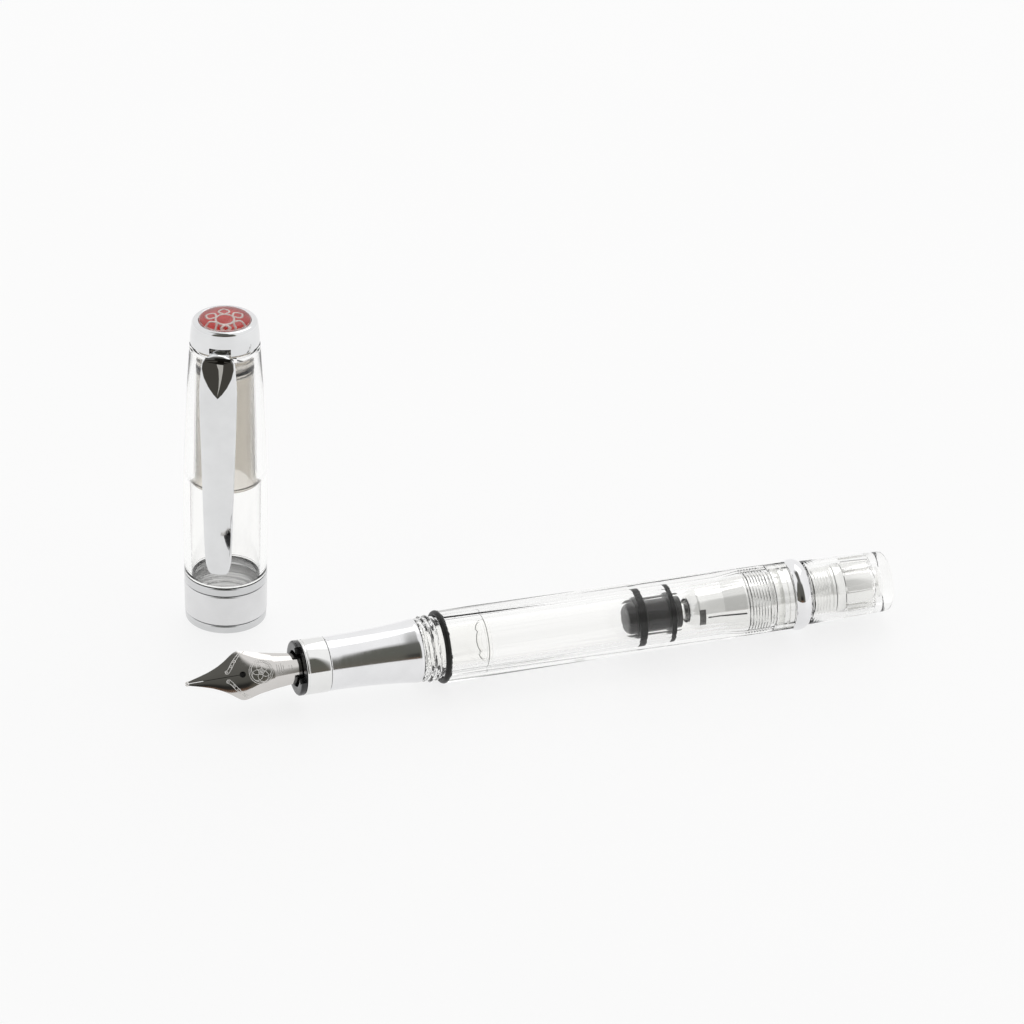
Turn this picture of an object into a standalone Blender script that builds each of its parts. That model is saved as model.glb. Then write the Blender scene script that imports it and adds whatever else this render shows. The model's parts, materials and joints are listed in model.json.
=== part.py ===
"""Clear piston-filling fountain pen: the pen lies uncapped, its cap stands on its lip beside it.

Units are metres, written as millimetres times MM. The pen's axis runs along +X and the cap's
along +Z. A station is a distance along a piece's axis: from the nib's tip for the pen, and
from the lip for the cap. An outline is a list of (radius, station) points, which runs towards
higher stations on the outside of the piece and back on the inside.
"""

import bpy
import bmesh
from math import cos, sin, pi, radians
from mathutils import Matrix, Vector

MM = 0.001

# ---------------------------------------------------------------- driving dimensions, in mm
PEN_LENGTH = 132.0
PEN_AXIS_Y = -17.2
SEAL_RADIUS = 6.61           # the cap seal is the widest ring, so it carries the pen's front
CAP_AXIS_X = -48.8
CAP_AXIS_Y = 16.1
NIB_ROLL = 53.3              # degrees from vertical: the nib faces up and to the front
FACET_TURN = 149.9           # degrees from +Y towards +Z: where one barrel flat faces
FACETS = 10

FIT = 0.15                   # running clearance between coaxial pieces, on the radius
FINE = 24                    # steps round a large piece
COARSE = 16                  # steps round a small or hidden piece

# stations along the pen
COLLAR_FRONT = 20.2
TRIM_FRONT = 21.35
SLEEVE_FRONT = 26.0
COLLAR_END = 36.8
SECTION_SEAT = 37.4          # the inner tube's step that the collar stops against
INK_WALL_FRONT = 41.0        # the tube's wall with the ink hole
INK_WALL_END = 43.0
NECK_FRONT = 43.0
GROOVE_FRONT = 46.5
SEAL_STATION = 47.13
BARREL_FRONT = 47.75
SHANK_END = 42.8             # the inner tube narrows here, and its nose goes into the barrel
NOSE_GROOVE = (54.85, 55.45)
SECTION_END = 55.9
PISTON_NOSE = 82.0
PISTON_TAIL = 92.0
ROD_FRONT = 87.4
ROD_NECK_END = 94.2
CONNECTOR_FRONT = 93.4
CONE_END = 94.9
KEY_FRONT = 95.5
KEY_END = 96.6
CORE_FRONT = 97.5
CONNECTOR_THREAD = 104.1
FLANGE_FRONT = 109.3
FLANGE_GROOVE = (109.8, 111.0)
BARREL_END = 112.9
END_RING_FRONT = 113.05
KNOB_FRONT = 116.3
CONNECTOR_END = 121.0
CORE_COLLAR = 121.3
SPLINE_FRONT = 123.0
SPLINE_END = 128.4
CORE_BORE_END = 128.9
CORE_END = 129.8
ROD_END = 128.5
KEYWAY_FRONT = 123.4
KEYWAY_END = 128.8
KNOB_ROOM_END = 130.4

# radii along the pen
SHELL_BORE = 4.6             # inside the trim ring and the grip sleeve
COLLAR_BORE = 3.0
COLLAR_SLEEVE = 3.75
INK_HOLE = 1.5
SECTION_RADIUS = 4.4
SECTION_BORE = 3.95
NOSE_RADIUS = 3.7
NOSE_BORE = 3.1
NOSE_GROOVE_FLOOR = 3.4
CHAMBER_BORE = 3.9
TAIL_BORE = 4.95
FLANGE_ROOM = 5.6
FLANGE_RADIUS = 5.4
FLANGE_GROOVE_FLOOR = 4.65
BARREL_FRONT_RADIUS = 6.5
BARREL_REAR_RADIUS = 6.39
THREAD_CREST = 6.1
THREAD_ROOT = 5.6
SEAL_GROOVE_FLOOR = 5.35
CONNECTOR_RADIUS = 3.7
CONNECTOR_BORE = 3.1
ROD_RADIUS = 2.0
ROD_WAIST = 1.2
ROD_FLAT = 1.6
PLUG_RADIUS = 3.3
PLUG_GROOVE_FLOOR = 2.75
CORE_RADIUS = 4.1
CORE_COLLAR_RADIUS = 4.3
FLUTE_FLOOR = 3.55
FLUTES = 8
KNOB_BORE = 4.6

# stations and radii of the cap
BAND_TOP = 9.3
BAND_BORE = 6.65
BAND_RADIUS = 7.52
STEP_HEIGHT = 28.9
CAP_ROOM_TOP = 54.2
CAP_SHOULDER = 55.6
CROWN_BASE = 55.8
CROWN_TOP = 60.3
LINER_BASE = 28.2
LINER_ROOM_TOP = 50.2
LINER_FLOOR = 50.9
LINER_GROOVE = (50.7, 52.3)
LINER_TOP = 53.3
LINER_RADIUS = 5.2
LIP_BORE = 6.0
LINER_ROOM = 5.4
SCREW_HOLE = 1.6
JEWEL_RADIUS = 4.65
CLIP_TURN = -114.6           # degrees from +X: the side of the cap that carries the clip
CLIP_HINGE_RADIUS = 5.6
CLIP_HINGE_HEIGHT = 56.6


# ---------------------------------------------------------------- scene, materials, helpers
for old in list(bpy.data.objects):
    bpy.data.objects.remove(old, do_unlink=True)

parts = bpy.data.collections.new("fountain_pen")
cutters = bpy.data.collections.new("cutters")
bpy.context.scene.collection.children.link(parts)
bpy.context.scene.collection.children.link(cutters)


def material(name, color, roughness, metallic, alpha=1.0):
    mat = bpy.data.materials.new(name)
    mat.use_nodes = True
    shader = mat.node_tree.nodes["Principled BSDF"]
    shader.inputs["Base Color"].default_value = (*color, 1.0)
    shader.inputs["Roughness"].default_value = roughness
    shader.inputs["Metallic"].default_value = metallic
    shader.inputs["Alpha"].default_value = alpha
    return mat


def clear(name, color, alpha):
    return material(name, color, 0.05, 0.0, alpha)


def metal(name, color, roughness):
    return material(name, color, roughness, 1.0)


def black(name):
    return material(name, (0.02, 0.02, 0.022), 0.35, 0.0)


def silicone(name):
    return material(name, (0.7, 0.7, 0.7), 0.4, 0.0, 0.6)


def frame_empty(name, location, rotation):
    """An empty whose local +Z is a piece's axis, with its origin at station 0."""
    empty = bpy.data.objects.new(name, None)
    empty.location = Vector(location) * MM
    empty.rotation_euler = rotation
    parts.objects.link(empty)
    return empty


pen_frame = frame_empty("pen_frame", (-PEN_LENGTH / 2, PEN_AXIS_Y, SEAL_RADIUS), (0, pi / 2, 0))
nib_frame = frame_empty("nib_frame", (-PEN_LENGTH / 2, PEN_AXIS_Y, SEAL_RADIUS),
                        (radians(NIB_ROLL), 0, 0))
cap_frame = frame_empty("cap_frame", (CAP_AXIS_X, CAP_AXIS_Y, 0), (0, 0, 0))
clip_frame = frame_empty("clip_frame", (0, 0, 0), (0, 0, radians(CLIP_TURN)))
clip_frame.parent = cap_frame
clip_hinge = frame_empty("clip_hinge", (CLIP_HINGE_RADIUS, 0, CLIP_HINGE_HEIGHT), (0, 0, 0))
clip_hinge.parent = clip_frame


def place(name, mesh, frame, mat, station=0.0, is_cutter=False):
    """Puts a mesh, drawn in metres, on a frame's axis with its origin at a station."""
    piece = bpy.data.objects.new(name, mesh)
    piece.parent = frame
    piece.location = (0, 0, station * MM)
    if mat:
        mesh.materials.append(mat)
    mesh.shade_smooth()
    mesh.set_sharp_from_angle(angle=radians(30))
    if is_cutter:
        piece.hide_render = True
        piece.display_type = "WIRE"
        cutters.objects.link(piece)
    else:
        parts.objects.link(piece)
    return piece


def turned(name, outline, frame, mat=None, steps=COARSE, is_cutter=False):
    """A turned piece: an outline of (radius, station) points, with a Screw modifier."""
    base = outline[0][1]
    points = [(radius * MM, 0.0, (station - base) * MM) for radius, station in reversed(outline)]
    on_axis = outline[0][0] == 0
    count = len(points)
    edges = [(i, i + 1) for i in range(count - 1)]
    if not on_axis:
        edges.append((count - 1, 0))
    mesh = bpy.data.meshes.new(name)
    mesh.from_pydata(points, edges, [])
    piece = place(name, mesh, frame, mat, base, is_cutter)
    screw = piece.modifiers.new("turn", "SCREW")
    screw.axis = "Z"
    screw.steps = steps
    screw.render_steps = steps
    screw.use_merge_vertices = True
    screw.merge_threshold = 0.00001
    screw.use_smooth_shade = True
    return piece


def rod_outline(radius, start, end):
    return [(0, start), (radius, start), (radius, end), (0, end)]


def tube_outline(outer, inner, start, end, chamfer=0.0):
    if not chamfer:
        return [(inner, start), (outer, start), (outer, end), (inner, end)]
    return [(inner, start), (outer - chamfer, start), (outer, start + chamfer),
            (outer, end - chamfer), (outer - chamfer, end), (inner, end)]


def ridges(crest, root, start, end, count):
    """The outside of a thread, drawn as rings: rises and falls between root and crest."""
    pitch = (end - start) / count
    points = []
    for i in range(count):
        foot = start + i * pitch
        points.append((root, foot))
        points.append((crest, foot + 0.5 * pitch))
    points.append((root, end))
    return points


def boolean(piece, cutter, operation="DIFFERENCE"):
    cut = piece.modifiers.new(cutter.name, "BOOLEAN")
    cut.operation = operation
    cut.object = cutter
    cut.solver = "EXACT"


def torus(name, ring_radius, tube_radius, station, frame, mat, steps=FINE):
    around = [2 * pi * i / 8 for i in range(8)]
    outline = [(ring_radius + tube_radius * sin(a), station - tube_radius * cos(a))
               for a in around]
    return turned(name, outline, frame, mat, steps)


def loft(name, rings, frame, mat, is_cutter=False):
    """A closed body skinned over rings of points that all have the same count."""
    bm = bmesh.new()
    rows = [[bm.verts.new(Vector(point) * MM) for point in ring] for ring in rings]
    for low, high in zip(rows, rows[1:]):
        for i in range(len(low)):
            j = (i + 1) % len(low)
            bm.faces.new((low[i], low[j], high[j], high[i]))
    bm.faces.new(list(reversed(rows[0])))
    bm.faces.new(rows[-1])
    bmesh.ops.recalc_face_normals(bm, faces=bm.faces)
    mesh = bpy.data.meshes.new(name)
    bm.to_mesh(mesh)
    bm.free()
    return place(name, mesh, frame, mat, 0.0, is_cutter)


def block(name, size, centre, frame):
    """A cutter: a box of a size, centred at a point of the frame."""
    bm = bmesh.new()
    stretch = Matrix.Translation(Vector(centre) * MM) @ Matrix.Diagonal((*[v * MM for v in size], 1))
    bmesh.ops.create_cube(bm, size=1.0, matrix=stretch)
    mesh = bpy.data.meshes.new(name)
    bm.to_mesh(mesh)
    bm.free()
    return place(name, mesh, frame, None, 0.0, True)


def fluted(name, high, low, high_share, start, end, frame, mat=None, is_cutter=False):
    """A prism whose outline steps between two radii, once for each flute."""
    pitch = 2 * pi / FLUTES
    half_high = 0.5 * high_share * pitch
    outline = []
    for i in range(FLUTES):
        middle = i * pitch
        for radius, angle in ((high, -half_high), (high, 0), (high, half_high),
                              (low, half_high), (low, pitch / 2), (low, pitch - half_high)):
            outline.append((radius * cos(middle + angle), radius * sin(middle + angle)))
    rings = [[(x, y, station) for x, y in outline] for station in (start, end)]
    return loft(name, rings, frame, mat, is_cutter)


def blend(points, value):
    """Straight-line reading of a list of (position, value) points, clamped at its ends."""
    if value <= points[0][0]:
        return points[0][1]
    for (a, low), (b, high) in zip(points, points[1:]):
        if value <= b:
            return low + (high - low) * (value - a) / (b - a)
    return points[-1][1]


# ---------------------------------------------------------------- nib, feed and collar
NIB_THICKNESS = 0.35
NIB_END = 33.0
BREATHER = 10.1
SLIT_WIDTH = 0.14
# station, crest height, arc radius, and half the arc's angle
NIB_FORM = ((0.3, 0.45, 1.6, 0.2), (1.5, 0.75, 2.2, 0.28), (3, 1.1, 2.9, 0.36), (4.5, 1.43, 4.1, 0.372),
            (6, 1.75, 5.9, 0.37), (7.5, 2.07, 7.6, 0.406), (8.8, 2.34, 7.8, 0.523), (9.6, 2.5, 7.8, 0.588),
            (10.2, 2.6, 7.8, 0.6), (11, 2.72, 7.4, 0.616), (12, 2.85, 6.6, 0.649), (13, 2.95, 5.7, 0.713),
            (14, 3.0, 5.0, 0.789), (16, 3.0, 4.0, 0.93), (18, 2.9, 3.3, 1.1), (20, 2.75, 2.75, 1.38),
            (NIB_END, 2.75, 2.75, 1.38))
NIB_CREST = [(row[0], row[1]) for row in NIB_FORM]


def nib_row(form, across):
    """Points across the nib's upper face at one station."""
    station, crest, arc, half_angle = form
    row = []
    for i in range(across + 1):
        angle = (2 * i / across - 1) * half_angle
        row.append((station, arc * sin(angle), crest - arc + arc * cos(angle)))
    return row


def nib():
    across = 12
    bm = bmesh.new()
    rows = [[bm.verts.new(Vector(point) * MM) for point in nib_row(form, across)] for form in NIB_FORM]
    for low, high in zip(rows, rows[1:]):
        for i in range(across):
            bm.faces.new((low[i], high[i], high[i + 1], low[i + 1]))
    mesh = bpy.data.meshes.new("nib")
    bm.to_mesh(mesh)
    bm.free()
    piece = place("nib", mesh, nib_frame, metal("nib_steel", (0.72, 0.72, 0.73), 0.15))
    sheet = piece.modifiers.new("sheet", "SOLIDIFY")
    sheet.thickness = NIB_THICKNESS * MM
    sheet.offset = -1
    tipping = ball("nib_tipping", 0.42, (0.42, 0, 0.28))
    boolean(piece, tipping, "UNION")
    slit = block("nib_slit", (BREATHER + 1, SLIT_WIDTH, 4), (BREATHER / 2 - 0.5, 0, 1.5), nib_frame)
    boolean(piece, slit)
    boolean(piece, post("nib_breather", 0.55, (BREATHER, 0, 0), 4))


def ball(name, radius, centre):
    bm = bmesh.new()
    bmesh.ops.create_uvsphere(bm, u_segments=12, v_segments=8, radius=radius * MM,
                              matrix=Matrix.Translation(Vector(centre) * MM))
    mesh = bpy.data.meshes.new(name)
    bm.to_mesh(mesh)
    bm.free()
    return place(name, mesh, nib_frame, None, 0.0, True)


def post(name, radius, centre, height):
    """A cutter: an upright cylinder in the nib's frame."""
    bm = bmesh.new()
    bmesh.ops.create_cone(bm, cap_ends=True, segments=16, radius1=radius * MM, radius2=radius * MM,
                          depth=height * MM,
                          matrix=Matrix.Translation((Vector(centre) + Vector((0, 0, height / 2))) * MM))
    mesh = bpy.data.meshes.new(name)
    bm.to_mesh(mesh)
    bm.free()
    return place(name, mesh, nib_frame, None, 0.0, True)


FEED_FRONT = 3.5
FEED_END = 40.0
FEED_RADIUS = 2.2
FIN_COUNT = 6
FIN_FIRST = 8.0
FIN_PITCH = 2.0
FIN_DEPTH = 0.9
FEED_HALF_WIDTH = ((FEED_FRONT, 0.35), (8, 1.7), (14.2, FEED_RADIUS))
FEED_BOTTOM = ((FEED_FRONT, 0.1), (8, -1.2), (14.2, -FEED_RADIUS))


def feed_ring(station, bottom_cut):
    top = blend(NIB_CREST, station) - NIB_THICKNESS - 0.25
    bottom = blend(FEED_BOTTOM, station) + bottom_cut
    middle = (blend(FEED_BOTTOM, station) + top) / 2
    width = blend(FEED_HALF_WIDTH, station)
    ring = []
    for i in range(12):
        angle = 2 * pi * i / 12
        reach = top - middle if sin(angle) > 0 else middle - bottom
        ring.append((station, width * cos(angle), middle + reach * sin(angle)))
    return ring


def feed():
    """The feed fills the nib from below; its lower side is cut into fins."""
    rings = [feed_ring(FEED_FRONT, 0), feed_ring(5.5, 0)]
    for i in range(FIN_COUNT):
        front = FIN_FIRST + i * FIN_PITCH
        back = front + 0.45 * FIN_PITCH
        rings += [feed_ring(front, 0), feed_ring(front + 0.02, FIN_DEPTH)]
        rings += [feed_ring(back, FIN_DEPTH), feed_ring(back + 0.02, 0)]
    rings += [feed_ring(22, 0), feed_ring(FEED_END, 0)]
    loft("feed", rings, nib_frame, black("feed_plastic"))


def nib_collar():
    rear = TRIM_FRONT - FIT
    outline = [(COLLAR_BORE, COLLAR_FRONT), (4.8, COLLAR_FRONT), (4.97, COLLAR_FRONT + 0.2), (4.97, rear),
               (COLLAR_SLEEVE, rear), (COLLAR_SLEEVE, COLLAR_END), (COLLAR_BORE, COLLAR_END)]
    turned("nib_collar", outline, pen_frame, black("collar_plastic"), FINE)


# ---------------------------------------------------------------- grip section
def grip_trim_ring():
    end = SLEEVE_FRONT - FIT
    outline = tube_outline(5.0, SHELL_BORE, TRIM_FRONT, end, 0.15)
    turned("grip_trim_ring", outline, pen_frame, metal("trim_chrome", (0.82, 0.82, 0.83), 0.08), FINE)


def grip_sleeve():
    end = NECK_FRONT - 0.2
    flare = [(4.9, SLEEVE_FRONT), (4.93, 31), (5.1, 35.5), (5.42, 39.5), (5.72, 41.9), (5.78, 42.4),
             (5.7, end)]
    outline = [(SHELL_BORE, SLEEVE_FRONT)] + flare + [(SHELL_BORE, end)]
    turned("grip_sleeve", outline, pen_frame, metal("grip_aluminium", (0.86, 0.86, 0.87), 0.18), FINE)


def section_core():
    """The clear inner tube that carries the nib unit and closes the ink chamber's front."""
    front = TRIM_FRONT + 0.1
    groove_start, groove_end = NOSE_GROOVE
    outside = [(SECTION_RADIUS, front), (SECTION_RADIUS, SHANK_END), (NOSE_RADIUS, SHANK_END),
               (NOSE_RADIUS, groove_start), (NOSE_GROOVE_FLOOR, groove_start),
               (NOSE_GROOVE_FLOOR, groove_end), (NOSE_RADIUS, groove_end), (NOSE_RADIUS, SECTION_END)]
    inside = [(NOSE_BORE, SECTION_END), (NOSE_BORE, INK_WALL_END), (INK_HOLE, INK_WALL_END),
              (INK_HOLE, INK_WALL_FRONT), (COLLAR_BORE, INK_WALL_FRONT), (COLLAR_BORE, SECTION_SEAT),
              (SECTION_BORE, SECTION_SEAT), (SECTION_BORE, front)]
    turned("section_core", outside + inside, pen_frame, clear("section_acrylic", (0.9, 0.92, 0.93), 0.35))


def section_seal_ring():
    """Seals the nose of the inner tube in the barrel's bore."""
    start, end = NOSE_GROOVE
    outline = tube_outline(CHAMBER_BORE - 0.1, NOSE_GROOVE_FLOOR + 0.1, start + 0.1, end - 0.1)
    turned("section_seal_ring", outline, pen_frame, silicone("seal_silicone"))


def cap_seal_ring():
    tube_radius = 0.55
    torus("cap_seal_ring", SEAL_RADIUS - tube_radius, tube_radius, SEAL_STATION, pen_frame,
          black("seal_rubber"))


# ---------------------------------------------------------------- barrel
def barrel():
    """Faceted clear barrel: a ring of long triangles between two ten-sided ends."""
    rings = []
    ends = ((BARREL_FRONT, BARREL_FRONT_RADIUS, 0.5), (BARREL_END, BARREL_REAR_RADIUS, 0))
    for station, radius, turn in ends:
        ring = []
        for i in range(FACETS):
            angle = radians(FACET_TURN) + 2 * pi * (i + turn) / FACETS
            # in the pen's frame +Y keeps its direction and +Z of the world is -X
            ring.append((-radius * sin(angle), radius * cos(angle), station))
        rings.append(ring)
    bm = bmesh.new()
    front, rear = [[bm.verts.new(Vector(point) * MM) for point in ring] for ring in rings]
    for i in range(FACETS):
        after = (i + 1) % FACETS
        bm.faces.new((front[i], rear[i], rear[after]))
        bm.faces.new((front[i], rear[after], front[after]))
    bm.faces.new(front)
    bm.faces.new(list(reversed(rear)))
    bmesh.ops.recalc_face_normals(bm, faces=bm.faces)
    mesh = bpy.data.meshes.new("barrel")
    bm.to_mesh(mesh)
    bm.free()
    piece = place("barrel", mesh, pen_frame, clear("barrel_acrylic", (0.93, 0.95, 0.96), 0.3))

    neck = [(0, NECK_FRONT)] + ridges(THREAD_CREST, THREAD_ROOT, NECK_FRONT, GROOVE_FRONT, 3)
    inside_shell = BARREL_FRONT + 1
    neck += [(SEAL_GROOVE_FLOOR, GROOVE_FRONT), (SEAL_GROOVE_FLOOR, inside_shell), (0, inside_shell)]
    boolean(piece, turned("barrel_neck", neck, pen_frame, steps=FINE, is_cutter=True), "UNION")

    bore_start, bore_end = NECK_FRONT - 1, BARREL_END + 1
    thread_start, flange_start = CONNECTOR_THREAD - 0.2, FLANGE_FRONT - 0.1
    bore = [(0, bore_start), (CHAMBER_BORE, bore_start), (CHAMBER_BORE, thread_start),
            (TAIL_BORE, thread_start), (TAIL_BORE, flange_start), (FLANGE_ROOM, flange_start),
            (FLANGE_ROOM, bore_end), (0, bore_end)]
    boolean(piece, turned("barrel_bore", bore, pen_frame, steps=FINE, is_cutter=True))


# ---------------------------------------------------------------- piston mechanism
def piston_connector():
    """Screws into the barrel's tail, guides the drive core, and carries the knob's fine thread."""
    groove_start, groove_end = FLANGE_GROOVE
    mouth = ROD_RADIUS + 0.3
    outside = [(mouth + 0.3, CONNECTOR_FRONT), (CONNECTOR_RADIUS, CONE_END),
               (CONNECTOR_RADIUS, CONNECTOR_THREAD)]
    outside += ridges(4.8, 4.5, CONNECTOR_THREAD, FLANGE_FRONT - 0.4, 4)
    outside += [(4.5, FLANGE_FRONT), (FLANGE_RADIUS, FLANGE_FRONT), (FLANGE_RADIUS, groove_start),
                (FLANGE_GROOVE_FLOOR, groove_start), (FLANGE_GROOVE_FLOOR, groove_end),
                (FLANGE_RADIUS, groove_end), (FLANGE_RADIUS, BARREL_END), (4.1, BARREL_END),
                (4.1, KNOB_FRONT)]
    outside += ridges(4.3, 4.05, KNOB_FRONT + 0.2, CONNECTOR_END, 4)
    inside = [(CONNECTOR_BORE, CONNECTOR_END), (CONNECTOR_BORE, CONE_END + 0.4), (mouth, CONE_END - 0.3),
              (mouth, CONNECTOR_FRONT)]
    turned("piston_connector", outside + inside, pen_frame,
           metal("connector_aluminium", (0.78, 0.78, 0.8), 0.2))


def connector_seal_ring():
    middle = sum(FLANGE_GROOVE) / 2
    torus("connector_seal_ring", 5.05, 0.4, middle, pen_frame, silicone("connector_silicone"), COARSE)


def end_ring():
    rise = ((5.9, 0), (6.3, 0.25), (6.5, 0.8), (6.55, 1.45), (6.45, 2.1), (6.15, 2.7), (5.75, 3.1))
    outline = [(4.35, END_RING_FRONT)] + [(radius, END_RING_FRONT + along) for radius, along in rise]
    outline.append((4.35, END_RING_FRONT + rise[-1][1]))
    turned("end_ring", outline, pen_frame, metal("end_chrome", (0.85, 0.85, 0.86), 0.05), FINE)


def drive_core():
    """The turning nut: its bore drives the rod, and its flutes carry the knob along."""
    journal = CONNECTOR_BORE - FIT
    bore = ROD_RADIUS + 0.25
    hub = 3.2
    stub = 2.5
    outline = [(0, CORE_BORE_END), (bore, CORE_BORE_END), (bore, CORE_FRONT), (journal, CORE_FRONT),
               (journal, CORE_COLLAR), (CORE_COLLAR_RADIUS, CORE_COLLAR), (CORE_COLLAR_RADIUS, SPLINE_FRONT),
               (hub, SPLINE_FRONT), (hub, SPLINE_END), (stub, SPLINE_END), (stub, CORE_END), (0, CORE_END)]
    piece = turned("drive_core", outline, pen_frame, metal("core_aluminium", (0.75, 0.75, 0.77), 0.25))
    splines = fluted("core_splines", CORE_RADIUS, FLUTE_FLOOR, 0.58, SPLINE_FRONT - 0.2, SPLINE_END - 0.1,
                     pen_frame, is_cutter=True)
    hollow = rod_outline(hub - 0.5, SPLINE_FRONT - 3, SPLINE_END + 2)
    boolean(splines, turned("core_hollow", hollow, pen_frame, is_cutter=True))
    boolean(piece, splines, "UNION")


def piston_knob():
    """The clear turning knob: keys in its bore slide in the core's flutes."""
    stub_room = 2.8
    keyway_bore = 3.6
    inside = [(0, KNOB_ROOM_END), (stub_room, KNOB_ROOM_END), (stub_room, KEYWAY_END),
              (keyway_bore, KEYWAY_END), (keyway_bore, KEYWAY_FRONT), (KNOB_BORE, KEYWAY_FRONT),
              (KNOB_BORE, KNOB_FRONT)]
    outside = [(5.65, KNOB_FRONT), (5.8, KNOB_FRONT + 0.15), (5.5, 131.5), (5.4, 131.85),
               (5.2, PEN_LENGTH), (0, PEN_LENGTH)]
    piece = turned("piston_knob", inside + outside, pen_frame,
                   clear("knob_acrylic", (0.93, 0.95, 0.96), 0.3), FINE)
    keyway = fluted("knob_keyway", 4.4, 3.8, 0.75, KEYWAY_FRONT - 0.4, KEYWAY_END - 0.2, pen_frame,
                    is_cutter=True)
    boolean(piece, keyway)


def piston_rod():
    """The rod has two flats, so the key washer keeps it from turning."""
    button = 1.55
    outline = [(0, ROD_FRONT), (button, ROD_FRONT), (button, ROD_FRONT + 1.0), (ROD_WAIST, ROD_FRONT + 1.2),
               (ROD_WAIST, ROD_NECK_END), (ROD_RADIUS, ROD_NECK_END + 0.4), (ROD_RADIUS, ROD_END - 0.2),
               (ROD_RADIUS - 0.2, ROD_END), (0, ROD_END)]
    piece = turned("piston_rod", outline, pen_frame, metal("rod_steel", (0.7, 0.7, 0.72), 0.25))
    middle = (ROD_FRONT + ROD_END) / 2
    flats = block("rod_flats", (5, 2 * ROD_FLAT, 60), (0, 0, middle), pen_frame)
    boolean(piece, flats, "INTERSECT")


def rod_key_washer():
    """A washer with a flat-sided hole, fixed in the connector's mouth."""
    outline = rod_outline(CONNECTOR_BORE - FIT, KEY_FRONT, KEY_END)
    piece = turned("rod_key_washer", outline, pen_frame, black("key_plastic"))
    hole_outline = rod_outline(ROD_RADIUS + 0.2, KEY_FRONT - 0.5, KEY_END + 0.4)
    hole = turned("key_hole", hole_outline, pen_frame, is_cutter=True)
    sides = block("key_sides", (6, 2 * ROD_FLAT + 0.4, 4), (0, 0, (KEY_FRONT + KEY_END) / 2), pen_frame)
    boolean(hole, sides, "INTERSECT")
    boolean(piece, hole)


PLUG_GROOVES = (("front_piston_ring", 83.5, 85.3), ("rear_piston_ring", 89.6, 90.8))
PLUG_ROOM_RADIUS = 1.8
PLUG_ROOM_FRONT = 87.0


def piston_plug():
    """Hollow behind, where the rod's button snaps in; two grooves hold the seal rings."""
    outline = [(0, PISTON_NOSE), (2.3, PISTON_NOSE), (2.9, PISTON_NOSE + 0.35), (3.25, PISTON_NOSE + 1.1)]
    for ring_name, start, end in PLUG_GROOVES:
        outline += [(PLUG_RADIUS, start), (PLUG_GROOVE_FLOOR, start), (PLUG_GROOVE_FLOOR, end),
                    (PLUG_RADIUS, end)]
    outline += [(PLUG_RADIUS, PISTON_TAIL), (PLUG_ROOM_RADIUS, PISTON_TAIL),
                (PLUG_ROOM_RADIUS, PLUG_ROOM_FRONT), (0, PLUG_ROOM_FRONT)]
    turned("piston_plug", outline, pen_frame, black("plug_plastic"))


def piston_rings():
    for name, start, end in PLUG_GROOVES:
        outline = tube_outline(CHAMBER_BORE - 0.1, PLUG_GROOVE_FLOOR + FIT, start + FIT, end - FIT, 0.15)
        turned(name, outline, pen_frame, black(name))


# ---------------------------------------------------------------- cap
CAP_OUTSIDE = [(7.5, BAND_TOP + 0.15), (7.62, 14), (7.7, 20), (7.66, 27), (7.45, 33), (7.2, 39),
               (6.93, 45), (6.6, 50.5), (6.35, CAP_SHOULDER)]


def cap_body():
    """Clear shell: its lower end, inside the band, has the female thread."""
    outside = [(6.2, 0.5), (6.5, 0.5), (6.5, BAND_TOP + 0.15)] + CAP_OUTSIDE
    top = [(SCREW_HOLE, CAP_SHOULDER), (SCREW_HOLE, CAP_ROOM_TOP), (LINER_ROOM, CAP_ROOM_TOP),
           (LINER_ROOM, STEP_HEIGHT), (LIP_BORE, STEP_HEIGHT)]
    thread = list(reversed(ridges(5.85, 6.2, 1.2, 5.2, 3)))
    turned("cap_body", outside + top + [(LIP_BORE, 5.6)] + thread, cap_frame,
           clear("cap_acrylic", (0.93, 0.95, 0.96), 0.3), FINE)


def cap_band():
    """The polished band round the lip; the cap stands on its lower face."""
    floor = BAND_RADIUS - 0.35
    outline = [(BAND_BORE, 0), (7.15, 0), (7.33, 0.3), (7.36, 1.4), (7.1, 1.5), (7.1, 1.85), (7.46, 1.95),
               (BAND_RADIUS, 7.3), (floor, 7.45), (floor, 7.85), (BAND_RADIUS, 8.0), (BAND_RADIUS, 9.1),
               (7.35, BAND_TOP), (BAND_BORE, BAND_TOP)]
    turned("cap_band", outline, cap_frame, metal("band_chrome", (0.8, 0.8, 0.81), 0.15), FINE)


def inner_cap():
    """The liner that closes round the nib; a screw from the crown holds its top."""
    bore, flange, neck, well = 4.5, 5.7, 4.85, 1.4
    groove_start, groove_end = LINER_GROOVE
    inside = [(0, LINER_ROOM_TOP), (bore, LINER_ROOM_TOP)]
    outside = [(bore, LINER_BASE), (flange, LINER_BASE), (flange, LINER_BASE + 0.45),
               (LINER_RADIUS, LINER_BASE + 0.55), (LINER_RADIUS, groove_start), (neck, groove_start),
               (neck, groove_end), (LINER_RADIUS, groove_end), (LINER_RADIUS, LINER_TOP)]
    screw_well = [(well, LINER_TOP), (well, LINER_FLOOR), (0, LINER_FLOOR)]
    turned("inner_cap", inside + outside + screw_well, cap_frame,
           clear("liner_plastic", (0.5, 0.48, 0.44), 0.5))


def inner_cap_ring():
    start, end = LINER_GROOVE
    outline = tube_outline(5.28, 5.0, start + 0.2, end - 0.2)
    turned("inner_cap_ring", outline, cap_frame, black("liner_rubber"))


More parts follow.
